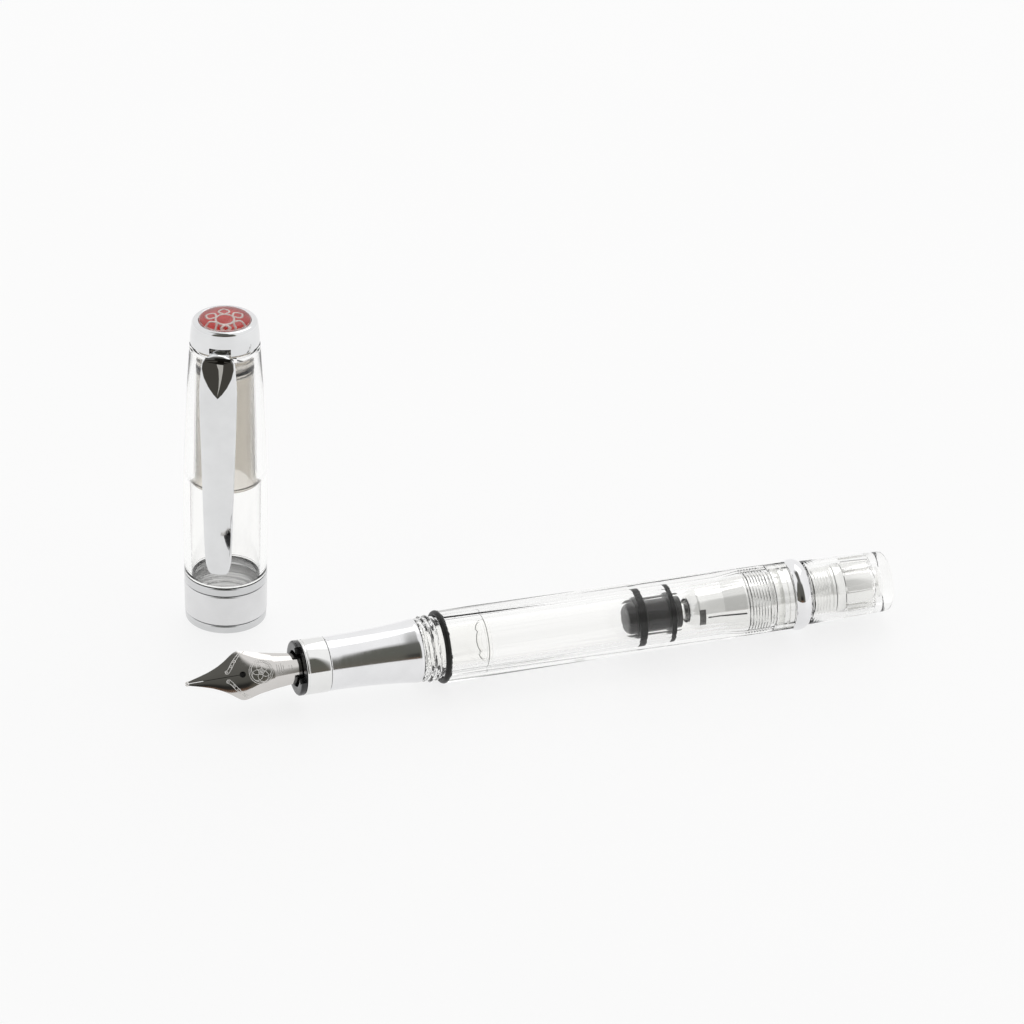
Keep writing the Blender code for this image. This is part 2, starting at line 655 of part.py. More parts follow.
def crown():
    seat_radius, seat_height = JEWEL_RADIUS + 0.2, 57.2
    outline = [(SCREW_HOLE, CROWN_BASE), (6.25, CROWN_BASE), (6.22, 57.6), (6.05, 58.6), (5.85, 59.6),
               (5.5, 60.1), (5.1, CROWN_TOP), (seat_radius, CROWN_TOP), (seat_radius, seat_height),
               (SCREW_HOLE, seat_height)]
    piece = turned("crown", outline, cap_frame, metal("crown_chrome", (0.85, 0.85, 0.86), 0.05), FINE)
    boolean(piece, block("clip_notch", (2.4, 4.2, 1.7), (6.1, 0, 56.5), clip_frame))


def cap_screw():
    """Holds the crown, the shell and the liner together; its head is under the jewel."""
    shank, head, head_base, head_top = 1.2, 2.4, 57.35, 58.4
    outline = [(0, LINER_FLOOR + 0.3), (shank, LINER_FLOOR + 0.3), (shank, head_base), (head, head_base),
               (head, head_top - 0.2), (head - 0.2, head_top), (0, head_top)]
    piece = turned("cap_screw", outline, cap_frame, metal("screw_steel", (0.6, 0.6, 0.62), 0.3))
    boolean(piece, block("screw_slot", (5, 0.6, 1.0), (0, 0, head_top), cap_frame))


DISC_BASE = 58.6
DISC_TOP = 58.9


def emblem_disc():
    silver = metal("emblem_silver", (0.8, 0.8, 0.8), 0.2)
    turned("emblem_disc", rod_outline(JEWEL_RADIUS - 0.05, DISC_BASE, DISC_TOP), cap_frame, silver)


def jewel():
    dome_base, dome_rise = 60.35, 1.05
    outline = [(0, DISC_TOP + FIT), (JEWEL_RADIUS - 0.1, DISC_TOP + FIT)]
    for i in range(5):
        angle = radians(18 * i)
        outline.append((JEWEL_RADIUS * cos(angle), dome_base + dome_rise * sin(angle)))
    outline.append((0, dome_base + dome_rise))
    red = material("jewel_red", (0.62, 0.06, 0.04), 0.05, 0.0, 0.85)
    turned("jewel", outline, cap_frame, red, FINE)


# ---------------------------------------------------------------- clip
# centre line from its root in the crown's notch: radius, height, half width, half thickness
CLIP_ROUTE = ((5.5, 56.55, 1.75, 0.55), (6.7, 56.7, 1.9, 0.55), (7.5, 56.5, 2.4, 0.5),
              (8.0, 55.8, 2.75, 0.5), (8.2, 54.0, 3.05, 0.5), (8.35, 50.0, 3.35, 0.5),
              (8.6, 40.0, 3.1, 0.5), (8.9, 28.0, 2.8, 0.5), (9.0, 20.0, 2.5, 0.5),
              (8.9, 16.0, 2.35, 0.55), (8.65, 14.0, 2.0, 0.6), (8.45, 13.0, 1.2, 0.45))


def clip():
    """A tapering strip on a curved route: eight points round each section."""
    rings = []
    for i, (radius, height, half_width, half_depth) in enumerate(CLIP_ROUTE):
        before = CLIP_ROUTE[max(i - 1, 0)]
        after = CLIP_ROUTE[min(i + 1, len(CLIP_ROUTE) - 1)]
        along = Vector((after[0] - before[0], 0, after[1] - before[1])).normalized()
        out = Vector((-along.z, 0, along.x))
        middle = Vector((radius - CLIP_HINGE_RADIUS, 0, height - CLIP_HINGE_HEIGHT))
        ring = []
        for side, depth in ((-1, 0.3), (-0.75, 1), (0.75, 1), (1, 0.3), (1, -0.6), (0.85, -1), (-0.85, -1),
                            (-1, -0.6)):
            ring.append(middle + Vector((0, side * half_width, 0)) + out * (depth * half_depth))
        rings.append(ring)
    loft("clip", rings, clip_hinge, metal("clip_chrome", (0.85, 0.85, 0.86), 0.08))


# ---------------------------------------------------------------- build
for make in (nib, feed, nib_collar, grip_trim_ring, grip_sleeve, section_core, section_seal_ring,
             cap_seal_ring, barrel, piston_connector, connector_seal_ring, end_ring, drive_core,
             piston_knob, piston_rod, rod_key_washer, piston_plug, piston_rings, cap_body, cap_band,
             inner_cap, inner_cap_ring, crown, cap_screw, emblem_disc, jewel, clip):
    make()
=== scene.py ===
"""Looks of the clear piston-filling fountain pen and its standing cap.

Every piece is drawn in millimetres on the pen's axis (along +X, stations counted from the nib's
tip) or on the cap's axis (along +Z, stations counted from the lip), and stands for a CAD node.
"""

import json
from math import cos, sin, pi, radians

import bpy
import bmesh
from mathutils import Matrix, Vector


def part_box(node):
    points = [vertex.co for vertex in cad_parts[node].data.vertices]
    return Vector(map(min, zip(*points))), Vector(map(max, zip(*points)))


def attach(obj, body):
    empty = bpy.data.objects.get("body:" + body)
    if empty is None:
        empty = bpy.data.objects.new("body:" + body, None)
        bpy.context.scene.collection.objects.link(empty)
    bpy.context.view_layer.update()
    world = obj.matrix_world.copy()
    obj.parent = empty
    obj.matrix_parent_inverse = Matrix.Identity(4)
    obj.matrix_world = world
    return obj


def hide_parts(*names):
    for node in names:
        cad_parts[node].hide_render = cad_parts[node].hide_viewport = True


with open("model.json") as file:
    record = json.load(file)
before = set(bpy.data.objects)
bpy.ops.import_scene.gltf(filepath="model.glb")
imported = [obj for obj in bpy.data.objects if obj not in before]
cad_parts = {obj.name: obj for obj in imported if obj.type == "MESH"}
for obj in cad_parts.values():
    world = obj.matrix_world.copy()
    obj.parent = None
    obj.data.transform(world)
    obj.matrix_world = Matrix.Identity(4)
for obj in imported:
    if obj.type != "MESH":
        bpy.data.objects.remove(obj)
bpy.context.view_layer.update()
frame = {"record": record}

MM = 0.001
PEN_LENGTH = 132.0
FINE = 128                   # steps round a visible piece
PLAIN = 72                   # steps round a small or hidden piece

record = frame["record"]
BODY_OF = {node: body for body, nodes in record["behaviour"]["bodies"].items() for node in nodes}

seal_low, seal_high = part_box("cap_seal_ring")
band_low, band_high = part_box("cap_band")
PEN_Y = (seal_low.y + seal_high.y) / 2 / MM
PEN_Z = (seal_low.z + seal_high.z) / 2 / MM
TIP_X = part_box("piston_knob")[1].x / MM - PEN_LENGTH
CAP_X = (band_low.x + band_high.x) / 2 / MM
CAP_Y = (band_low.y + band_high.y) / 2 / MM
CLIP_TURN = radians(-114.6)
NIB_ROLL = radians(53.3)
FACET_TURN = radians(149.9)
KEY_TURN = radians(176)


# ---------------------------------------------------------------- geometry helpers
def on_pen(radius, station, angle):
    """Angle 0 looks along +Y, and a quarter turn looks up."""
    return Vector((TIP_X + station, PEN_Y + radius * cos(angle), PEN_Z + radius * sin(angle))) * MM


def on_mouth(station, reach, side):
    """A frame at the piston guide's key: out from the pen's axis, and sideways."""
    out, across = (cos(KEY_TURN), sin(KEY_TURN)), (-sin(KEY_TURN), cos(KEY_TURN))
    return Vector((TIP_X + station, PEN_Y + reach * out[0] + side * across[0],
                   PEN_Z + reach * out[1] + side * across[1])) * MM


def on_cap(radius, station, angle):
    return Vector((CAP_X + radius * cos(angle), CAP_Y + radius * sin(angle), station)) * MM


def on_nib(station, side, height):
    """The nib's own frame: its crest looks up and to the front of the pen."""
    across = side * cos(NIB_ROLL) - height * sin(NIB_ROLL)
    up = side * sin(NIB_ROLL) + height * cos(NIB_ROLL)
    return Vector((TIP_X + station, PEN_Y + across, PEN_Z + up)) * MM


def on_clip(radius, side, height):
    """The clip's own frame: out from the cap's axis, sideways, and up."""
    x = CAP_X + radius * cos(CLIP_TURN) - side * sin(CLIP_TURN)
    y = CAP_Y + radius * sin(CLIP_TURN) + side * cos(CLIP_TURN)
    return Vector((x, y, height)) * MM


def curve_through(points, value):
    """Smooth reading (Catmull-Rom) of a list of (position, value) points, clamped at its ends."""
    if value <= points[0][0]:
        return points[0][1]
    if value >= points[-1][0]:
        return points[-1][1]
    i = max(k for k in range(len(points) - 1) if points[k][0] <= value)
    (a, low), (b, high) = points[i], points[i + 1]
    span = b - a
    before = points[i - 1] if i else (a - span, low)
    after = points[i + 2] if i + 2 < len(points) else (b + span, high)
    slope_low = (high - before[1]) / (b - before[0]) * span
    slope_high = (after[1] - low) / (after[0] - a) * span
    t = (value - a) / span
    return ((2 * t ** 3 - 3 * t ** 2 + 1) * low + (t ** 3 - 2 * t ** 2 + t) * slope_low
            + (3 * t ** 2 - 2 * t ** 3) * high + (t ** 3 - t ** 2) * slope_high)


def smooth_run(points, count):
    """(radius, station) points read evenly along a smooth curve through a few of them."""
    stations = [(station, radius) for radius, station in points]
    first, last = stations[0][0], stations[-1][0]
    return [(curve_through(stations, first + (last - first) * i / count), first + (last - first) * i / count)
            for i in range(count + 1)]


def straight_run(radius, start, end, step):
    count = max(1, round(abs(end - start) / step))
    return [(radius, start + (end - start) * i / count) for i in range(count + 1)]


def rounded(outline, size=0.12):
    """Turns each corner of an outline into a short arc."""
    result = []
    count = len(outline)
    open_ended = outline[0][0] == 0
    for i, point in enumerate(outline):
        if open_ended and i in (0, count - 1):
            result.append(point)
            continue
        here = Vector(point)
        back = Vector(outline[i - 1]) - here
        on = Vector(outline[(i + 1) % count]) - here
        if back.length < 1e-6 or on.length < 1e-6 or back.angle(on) > radians(155):
            result.append(point)
            continue
        reach = min(size, 0.45 * back.length, 0.45 * on.length)
        start = here + back.normalized() * reach
        end = here + on.normalized() * reach
        for t in (0, 1 / 3, 2 / 3, 1):
            result.append(tuple((1 - t) ** 2 * start + 2 * t * (1 - t) * here + t ** 2 * end))
    return result


def new_object(name, bm, smooth=35):
    bmesh.ops.recalc_face_normals(bm, faces=bm.faces)
    mesh = bpy.data.meshes.new(name)
    bm.to_mesh(mesh)
    bm.free()
    mesh.shade_smooth()
    mesh.set_sharp_from_angle(angle=radians(smooth))
    piece = bpy.data.objects.new(name, mesh)
    bpy.context.scene.collection.objects.link(piece)
    return piece


def turned_rows(bm, outline, spot, steps, shape=None, angles=None):
    """One ring of vertices for each outline point, with the faces between them."""
    angles = angles or [2 * pi * i / steps for i in range(steps)]
    count = len(angles)
    rows = []
    for radius, station in outline:
        if radius == 0:
            rows.append([bm.verts.new(spot(0, station, 0))])
            continue
        reach = [shape(radius, station, a) if shape else radius for a in angles]
        rows.append([bm.verts.new(spot(r, station, a)) for r, a in zip(reach, angles)])
    for low, high in zip(rows, rows[1:]):
        join_rings(bm, low, high)
    return rows


def join_rings(bm, low, high):
    count = max(len(low), len(high))
    for i in range(count):
        j = (i + 1) % count
        corners = [low[i % len(low)], low[j % len(low)], high[j % len(high)], high[i % len(high)]]
        bm.faces.new(list(dict.fromkeys(corners)))


def turned(name, outline, spot, steps=PLAIN, shape=None, angles=None, smooth=35):
    """A turned piece: up its outside and back down its inside, or from pole to pole."""
    bm = bmesh.new()
    rows = turned_rows(bm, outline, spot, steps, shape, angles)
    if outline[0][0] > 0:
        join_rings(bm, rows[-1], rows[0])
    return new_object(name, bm, smooth)


def helix(*zones):
    """A shape for turned(): right-hand thread ridges on runs of one radius."""
    def shape(radius, station, angle):
        for start, end, root, depth, pitch in zones:
            if abs(radius - root) < 1e-6 and start <= station <= end:
                turn = (station / pitch - angle / (2 * pi)) % 1
                ridge = max(0.0, 1 - abs(2 * turn - 1) * 1.35)
                ridge = ridge * ridge * (3 - 2 * ridge)
                fade = min(1.0, (station - start) / pitch, (end - station) / pitch)
                return radius + depth * fade * ridge
        return radius
    return shape


def ring(name, ring_radius, tube_radius, station, spot, steps=FINE):
    sides = [2 * pi * i / 20 for i in range(20)]
    outline = [(ring_radius + tube_radius * sin(a), station - tube_radius * cos(a)) for a in sides]
    return turned(name, outline, spot, steps, smooth=80)


def loft(name, rings, smooth=35):
    """A closed body skinned over rings of points that all have the same count."""
    bm = bmesh.new()
    rows = [[bm.verts.new(point) for point in ring_points] for ring_points in rings]
    for low, high in zip(rows, rows[1:]):
        join_rings(bm, low, high)
    bm.faces.new(rows[0])
    bm.faces.new(rows[-1])
    return new_object(name, bm, smooth)


def block(name, size, spot, middle):
    """A cutter: a box whose corners are placed by a frame's own function."""
    bm = bmesh.new()
    bmesh.ops.create_cube(bm, size=1.0)
    for vert in bm.verts:
        at = [m + s * c for m, s, c in zip(middle, size, vert.co)]
        vert.co = spot(*at)
    return new_object(name, bm)


def cut(piece, cutter, operation="DIFFERENCE"):
    """Applies a Boolean and removes its cutter."""
    change = piece.modifiers.new("cut", "BOOLEAN")
    change.operation = operation
    change.object = cutter
    change.solver = "EXACT"
    bpy.context.view_layer.update()
    evaluated = piece.evaluated_get(bpy.context.evaluated_depsgraph_get())
    mesh = bpy.data.meshes.new_from_object(evaluated)
    piece.modifiers.clear()
    piece.data = mesh
    mesh.set_sharp_from_angle(angle=radians(35))
    bpy.data.objects.remove(cutter)


def lines(name, paths, width):
    """Fine raised lines: one bevelled spline for each path of points in metres."""
    curve = bpy.data.curves.new(name, "CURVE")
    curve.dimensions = "3D"
    curve.bevel_depth = width / 2 * MM
    curve.bevel_resolution = 2
    curve.use_fill_caps = True
    for path, closed in paths:
        spline = curve.splines.new("POLY")
        spline.points.add(len(path) - 1)
        for point, place in zip(spline.points, path):
            point.co = (*place, 1)
        spline.use_cyclic_u = closed
    drawn = bpy.data.objects.new(name + "_path", curve)
    bpy.context.scene.collection.objects.link(drawn)
    bpy.context.view_layer.update()
    mesh = bpy.data.meshes.new_from_object(drawn.evaluated_get(bpy.context.evaluated_depsgraph_get()))
    bpy.data.objects.remove(drawn)
    bm = bmesh.new()
    bm.from_mesh(mesh)
    bpy.data.meshes.remove(mesh)
    bmesh.ops.remove_doubles(bm, verts=bm.verts, dist=1e-7)
    return new_object(name, bm, 60)


def stands_for(piece, node, mat):
    """The piece replaces a CAD node, and takes its body."""
    piece.data.materials.clear()
    piece.data.materials.append(mat)
    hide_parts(node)
    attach(piece, BODY_OF[node])
    return piece


def rides_with(piece, node, mat):
    """An extra piece that moves with a node's body."""
    piece.data.materials.clear()
    piece.data.materials.append(mat)
    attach(piece, BODY_OF[node])
    return piece


# ---------------------------------------------------------------- materials
def principled(name, color, roughness, metallic=0.0, **sockets):
    mat = bpy.data.materials.new(name)
    mat.use_nodes = True
    shader = mat.node_tree.nodes["Principled BSDF"]
    shader.inputs["Base Color"].default_value = (*color, 1.0)
    shader.inputs["Roughness"].default_value = roughness
    shader.inputs["Metallic"].default_value = metallic
    for socket, value in sockets.items():
        shader.inputs[socket.replace("_", " ")].default_value = value
    return mat


def noise(mat, scale, detail=3.0, roughness=0.55):
    """A noise value; scale gives its fineness along X, Y and Z, in features per metre."""
    nodes, links = mat.node_tree.nodes, mat.node_tree.links
    place = nodes.new("ShaderNodeTexCoord")
    stretch = nodes.new("ShaderNodeMapping")
    stretch.inputs["Scale"].default_value = scale
    texture = nodes.new("ShaderNodeTexNoise")
    texture.inputs["Scale"].default_value = 1.0
    texture.inputs["Detail"].default_value = detail
    texture.inputs["Roughness"].default_value = roughness
    links.new(place.outputs["Object"], stretch.inputs["Vector"])
    links.new(stretch.outputs["Vector"], texture.inputs["Vector"])
    return texture.outputs["Fac"]


def vary_roughness(mat, value, low, high):
    nodes, links = mat.node_tree.nodes, mat.node_tree.links
    spread = nodes.new("ShaderNodeMapRange")
    spread.inputs["From Min"].default_value = 0.3
    spread.inputs["From Max"].default_value = 0.7
    spread.inputs["To Min"].default_value = low
    spread.inputs["To Max"].default_value = high
    links.new(value, spread.inputs["Value"])
    links.new(spread.outputs["Result"], nodes["Principled BSDF"].inputs["Roughness"])


def vary_color(mat, value, dark, light, low=0.35, high=0.65):
    nodes, links = mat.node_tree.nodes, mat.node_tree.links
    ramp = nodes.new("ShaderNodeValToRGB")
    ramp.color_ramp.elements[0].position = low
    ramp.color_ramp.elements[0].color = (*dark, 1.0)
    ramp.color_ramp.elements[1].position = high
    ramp.color_ramp.elements[1].color = (*light, 1.0)
    links.new(value, ramp.inputs["Fac"])
    links.new(ramp.outputs["Color"], nodes["Principled BSDF"].inputs["Base Color"])


def bump(mat, value, strength, depth_mm):
    nodes, links = mat.node_tree.nodes, mat.node_tree.links
    relief = nodes.new("ShaderNodeBump")
    relief.inputs["Strength"].default_value = strength
    relief.inputs["Distance"].default_value = depth_mm * MM
    links.new(value, relief.inputs["Height"])
    links.new(relief.outputs["Normal"], nodes["Principled BSDF"].inputs["Normal"])


def clear_acrylic(name, flow, strength, ior):
    """Polished clear plastic, with faint moulding streaks along its axis."""
    mat = principled(name, (0.994, 0.993, 0.986), 0.0, IOR=ior, Transmission_Weight=1.0)
    streaks = noise(mat, flow, 2.0)
    bump(mat, streaks, strength, 0.02)
    vary_roughness(mat, noise(mat, (900, 900, 900)), 0.0, 0.015)
    return mat


def polished_metal(name, color, low, high, lines_scale, strength=0.05):
    """Bright metal with fine lines left by polishing or turning."""
    mat = principled(name, color, low, 1.0)
    marks = noise(mat, lines_scale, 4.0)
    vary_roughness(mat, marks, low, high)
    bump(mat, marks, strength, 0.004)
    shade = tuple(0.94 * c for c in color)
    vary_color(mat, noise(mat, (160, 160, 160)), shade, color)
    return mat


def plastic(name, dark, light, low, high, grain=2500, strength=0.08, **sockets):
    mat = principled(name, light, low, **sockets)
    grains = noise(mat, (grain, grain, grain), 4.0)
    vary_roughness(mat, grains, low, high)
    vary_color(mat, noise(mat, (300, 300, 300)), dark, light)
    bump(mat, grains, strength, 0.01)
    return mat


ACROSS_X = (5200, 90, 90)
ACROSS_Z = (90, 90, 5200)
ALONG_X = (60, 1500, 1500)
ALONG_Z = (1500, 1500, 60)

barrel_clear = clear_acrylic("barrel_clear", (12, 100, 100), 0.01, 1.35)
knob_clear = clear_acrylic("knob_clear", (40, 200, 200), 0.01, 1.35)
section_clear = clear_acrylic("section_clear", (60, 200, 200), 0.01, 1.03)
cap_clear = clear_acrylic("cap_clear", (120, 120, 12), 0.01, 1.3)
chrome = polished_metal("bright_chrome", (0.87, 0.87, 0.88), 0.02, 0.05, (700, 700, 700), 0.02)
crown_chrome = polished_metal("crown_chrome", (0.79, 0.795, 0.8), 0.02, 0.05, (700, 700, 700), 0.02)
clip_chrome = polished_metal("clip_chrome", (0.78, 0.785, 0.79), 0.03, 0.07, ALONG_Z, 0.02)
grip_metal = polished_metal("grip_metal", (0.86, 0.86, 0.87), 0.07, 0.14, ACROSS_X, 0.05)
trim_metal = polished_metal("trim_metal", (0.86, 0.86, 0.85), 0.04, 0.09, ACROSS_X, 0.03)
band_metal = polished_metal("band_satin", (0.76, 0.76, 0.765), 0.2, 0.28, ACROSS_Z, 0.03)
band_bright = polished_metal("band_bright", (0.66, 0.665, 0.67), 0.05, 0.1, ACROSS_Z, 0.02)
mechanism_metal = polished_metal("mechanism_metal", (0.93, 0.93, 0.92), 0.12, 0.2, ACROSS_X, 0.05)
nib_metal = polished_metal("nib_metal", (0.66, 0.64, 0.62), 0.05, 0.13, ALONG_X, 0.05)
etched_metal = polished_metal("etched_lines", (0.8, 0.79, 0.77), 0.4, 0.55, (2500, 2500, 2500), 0.2)
black_gloss = plastic("black_gloss", (0.012, 0.012, 0.013), (0.022, 0.022, 0.024), 0.12, 0.24)
feed_black = plastic("feed_black", (0.012, 0.012, 0.013), (0.025, 0.025, 0.026), 0.25, 0.42)
rubber = plastic("seal_rubber", (0.012, 0.012, 0.012), (0.022, 0.022, 0.02), 0.3, 0.45, 1800, 0.1,
                 Specular_IOR_Level=0.2)
key_grey = plastic("key_grey", (0.06, 0.058, 0.052), (0.09, 0.086, 0.08), 0.2, 0.35)
plug_plastic = plastic("plug_plastic", (0.006, 0.005, 0.005), (0.011, 0.009, 0.008), 0.05, 0.1,
                       Specular_IOR_Level=0.4)
smoky = principled("smoky_liner", (0.80, 0.77, 0.72), 0.12, IOR=1.47, Transmission_Weight=0.9)
vary_roughness(smoky, noise(smoky, (900, 900, 300)), 0.08, 0.2)
vary_color(smoky, noise(smoky, (260, 260, 20)), (0.76, 0.725, 0.67), (0.86, 0.825, 0.77))
bump(smoky, noise(smoky, (500, 500, 60)), 0.1, 0.02)
seal_grey = plastic("seal_grey", (0.1, 0.1, 0.09), (0.14, 0.14, 0.13), 0.3, 0.45)
silicone = principled("clear_silicone", (0.97, 0.97, 0.96), 0.1, IOR=1.03, Transmission_Weight=1.0)
vary_roughness(silicone, noise(silicone, (900, 900, 900)), 0.05, 0.15)
jewel_glass = principled("jewel_glass", (1.0, 0.9, 0.89), 0.0, IOR=1.5, Transmission_Weight=1.0)
bump(jewel_glass, noise(jewel_glass, (300, 300, 300)), 0.04, 0.02)
red_enamel = plastic("red_enamel", (0.66, 0.03, 0.022), (0.78, 0.05, 0.038), 0.15, 0.25)
emblem_silver = polished_metal("emblem_silver", (0.95, 0.92, 0.88), 0.4, 0.55, (900, 900, 900), 0.05)
shield_metal = polished_metal("shield_metal", (0.055, 0.052, 0.045), 0.04, 0.09, (500, 500, 500), 0.02)
# A lighter copy of the shield's dark metal: a painted highlight on one facet of the shield.
shield_painted_highlight = polished_metal("shield_painted_highlight", (0.45, 0.44, 0.41), 0.1, 0.2, (500, 500, 500), 0.02)


# ---------------------------------------------------------------- nib, feed and collar
NIB_THICKNESS = 0.32
NIB_END = 33.0
BREATHER = 10.1
# station, crest height, arc radius, and half the arc's angle
NIB_FORM = ((0.2, 0.42, 1.6, 0.19), (1.5, 0.75, 2.2, 0.28), (3, 1.1, 2.9, 0.36), (4.5, 1.43, 4.1, 0.372),
            (6, 1.75, 5.9, 0.37), (7.5, 2.07, 7.6, 0.406), (8.8, 2.34, 7.8, 0.523), (9.6, 2.5, 7.8, 0.588),
            (10.2, 2.6, 7.8, 0.6), (11, 2.72, 7.4, 0.616), (12, 2.85, 6.6, 0.649), (13, 2.95, 5.7, 0.713),
            (14, 3.0, 5.0, 0.789), (16, 3.0, 4.0, 0.93), (18, 2.9, 3.3, 1.1), (20, 2.75, 2.75, 1.38),
            (NIB_END, 2.75, 2.75, 1.38))
NIB_READ = [[(row[0], row[k]) for row in NIB_FORM] for k in (1, 2, 3)]


def nib_point(station, share, lift=0.0):
    """A point on the nib's upper face; share runs from -1 at one edge to 1 at the other."""
    crest, arc, edge = [curve_through(points, station) for points in NIB_READ]
    angle = share * edge
    return on_nib(station, (arc + lift) * sin(angle), crest - arc + (arc + lift) * cos(angle))


def nib_mark(station, side, lift=0.01):
    """A point on the nib's upper face, a distance to one side of its crest line."""
    crest, arc, edge = [curve_through(points, station) for points in NIB_READ]
    return nib_point(station, side / arc / edge, lift)


def make_nib():
    """A folded sheet with its tipping, slit and breather hole."""
    across = 36
    shares = [2 * i / across - 1 for i in range(across + 1)]
    stations = [0.2 + 15.8 * (i / 56) for i in range(57)] + [20, 24, 28, NIB_END]
    rings = []
    for station in stations:
        thick = NIB_THICKNESS if station > 2 else 0.45
        upper = [nib_point(station, share) for share in shares]
        lower = [nib_point(station, share, -thick) for share in reversed(shares)]
        rings.append(upper + lower)
    piece = loft("nib_sheet", rings, 40)
    cut(piece, tipping_ball(), "UNION")
    cut(piece, block("slit", (BREATHER + 1, 0.1, 4), on_nib, (BREATHER / 2 - 0.5, 0, 1.5)))
    bm = bmesh.new()
    bmesh.ops.create_cone(bm, cap_ends=True, segments=40, radius1=0.55, radius2=0.55, depth=4)
    for vert in bm.verts:
        vert.co = on_nib(BREATHER + vert.co.x, vert.co.y, 2.4 + vert.co.z)
    cut(piece, new_object("breather", bm))
    stands_for(piece, "nib", nib_metal)


def tipping_ball():
    bm = bmesh.new()
    bmesh.ops.create_uvsphere(bm, u_segments=28, v_segments=18, radius=0.43)
    for vert in bm.verts:
        vert.co = on_nib(0.43 + vert.co.x, vert.co.y, 0.25 + 0.85 * vert.co.z)
    return new_object("tipping", bm)


def through(points, count=40):
    """A smooth line on the nib through (station, side) points."""
    last = len(points) - 1
    rows = [[(i, point[k]) for i, point in enumerate(points)] for k in (0, 1)]
    return [nib_mark(curve_through(rows[0], last * t), curve_through(rows[1], last * t))
            for t in steps_of(count)]


def curl(station, side, radius, start, turns):
    """A small spiral that winds inwards."""
    path = []
    for t in steps_of(24):
        reach = radius * (1 - 0.75 * t)
        angle = start + 2 * pi * turns * t
        path.append(nib_mark(station + reach * cos(angle), side + reach * sin(angle)))
    return path


def scroll(sign):
    """A flourish from beside the breather hole to the shoulder: two leaning stems with curls."""
    near = [(7.15, 0.78), (7.3, 0.55), (7.7, 0.58), (8.1, 1.0), (8.6, 1.65), (9.15, 2.45), (9.9, 3.3),
            (10.8, 4.0), (11.3, 4.5)]
    far = [(7.15, 0.78), (7.22, 1.05), (7.6, 1.22), (7.95, 1.6), (8.45, 2.3), (9.05, 3.0), (9.75, 3.7),
           (10.5, 4.3)]
    paths = [through([(station, sign * side) for station, side in row]) for row in (near, far)]
    curls = ((7.45, 0.88, 0.24, 2.6), (8.35, 1.68, 0.3, 0.6), (9.1, 2.68, 0.34, 3.4), (10.0, 3.65, 0.3, 0.4))
    for station, side, radius, start in curls:
        paths.append(curl(station, sign * side, radius, sign * start, sign * 1.1))
    return [(path, False) for path in paths]


def steps_of(count):
    return [i / count for i in range(count + 1)]


def circle_on_nib(station, side, radius, count=48):
    return [nib_mark(station + radius * cos(2 * pi * i / count), side + radius * sin(2 * pi * i / count))
            for i in range(count)]


def make_engraving():
    """Generic ornament: flourishes, a ring of interlaced circles, and plain bars."""
    rose = 13.4
    paths = scroll(1) + scroll(-1)
    for radius in (2.15, 1.85, 0.5):
        paths.append((circle_on_nib(rose, 0, radius), True))
    for i in range(5):
        angle = 2 * pi * i / 5
        paths.append((circle_on_nib(rose + 0.88 * cos(angle), 0.88 * sin(angle), 0.95, 36), True))
    bars = ((16.35, -0.95, 0.95), (16.75, -0.7, 0.75), (17.15, -0.95, 0.95), (17.55, -0.6, 0.6),
            (18.6, -0.35, -0.05), (18.6, 0.12, 0.4), (19.1, -0.35, 0.4))
    for station, start, end in bars:
        paths.append(([nib_mark(station, start + (end - start) * t) for t in steps_of(8)], False))
    rides_with(lines("nib_ornament", paths, 0.11), "nib", etched_metal)


FEED_SIDES = 28
# station, half width, and height of the underside
FEED_FORM = ((3.4, 0.3, 0.1), (5.5, 0.95, -0.55), (8, 1.6, -1.25), (11, 2.05, -1.9), (14.2, 2.2, -2.3),
             (40, 2.2, -2.3))


def feed_ring(station, bite):
    """One cross-section of the feed; bite is how deep a gap between two fins goes."""
    crest = curve_through(NIB_READ[0], station)
    top = crest - NIB_THICKNESS - 0.2
    width = curve_through([(row[0], row[1]) for row in FEED_FORM], station) - 0.25 * bite
    bottom = curve_through([(row[0], row[2]) for row in FEED_FORM], station) + bite
    middle = (top + bottom) / 2
    ring_points = []
    for i in range(FEED_SIDES):
        angle = 2 * pi * i / FEED_SIDES
        reach = top - middle if sin(angle) > 0 else middle - bottom
        ring_points.append(on_nib(station, width * cos(angle), middle + reach * sin(angle)))
    return ring_points


def make_feed():
    rings = [feed_ring(s, 0) for s in (3.4, 3.9, 4.5, 5.2, 6.0, 6.8)]
    fin, pitch = 7.2, 1.15
    gap = ((0, 0), (0.03, 0.85), (0.42, 0.85), (0.45, 0))
    while fin < 19.5:
        rings += [feed_ring(fin + step, bite) for step, bite in gap]
        fin += pitch
    rings += [feed_ring(s, 0) for s in (20.6, 24, 30, 39.6)]
    centre = sum(rings[-1], Vector()) / FEED_SIDES
    rings.append([point.lerp(centre, 0.25) + Vector((0.4 * MM, 0, 0)) for point in rings[-1]])
    stands_for(loft("feed_fins", rings, 30), "feed", feed_black)


def make_collar():
    outline = rounded([(3.3, 20.2), (4.72, 20.2), (4.97, 20.45), (4.97, 21.2), (3.75, 21.2), (3.75, 36.8),
                       (3.3, 36.8)], 0.12)
    piece = turned("collar_flange", outline, on_pen, FINE)
    cut(piece, block("collar_notch", (1.6, 6.6, 4.0), on_nib, (20.3, 0, 4.45)))
    stands_for(piece, "nib_collar", black_gloss)


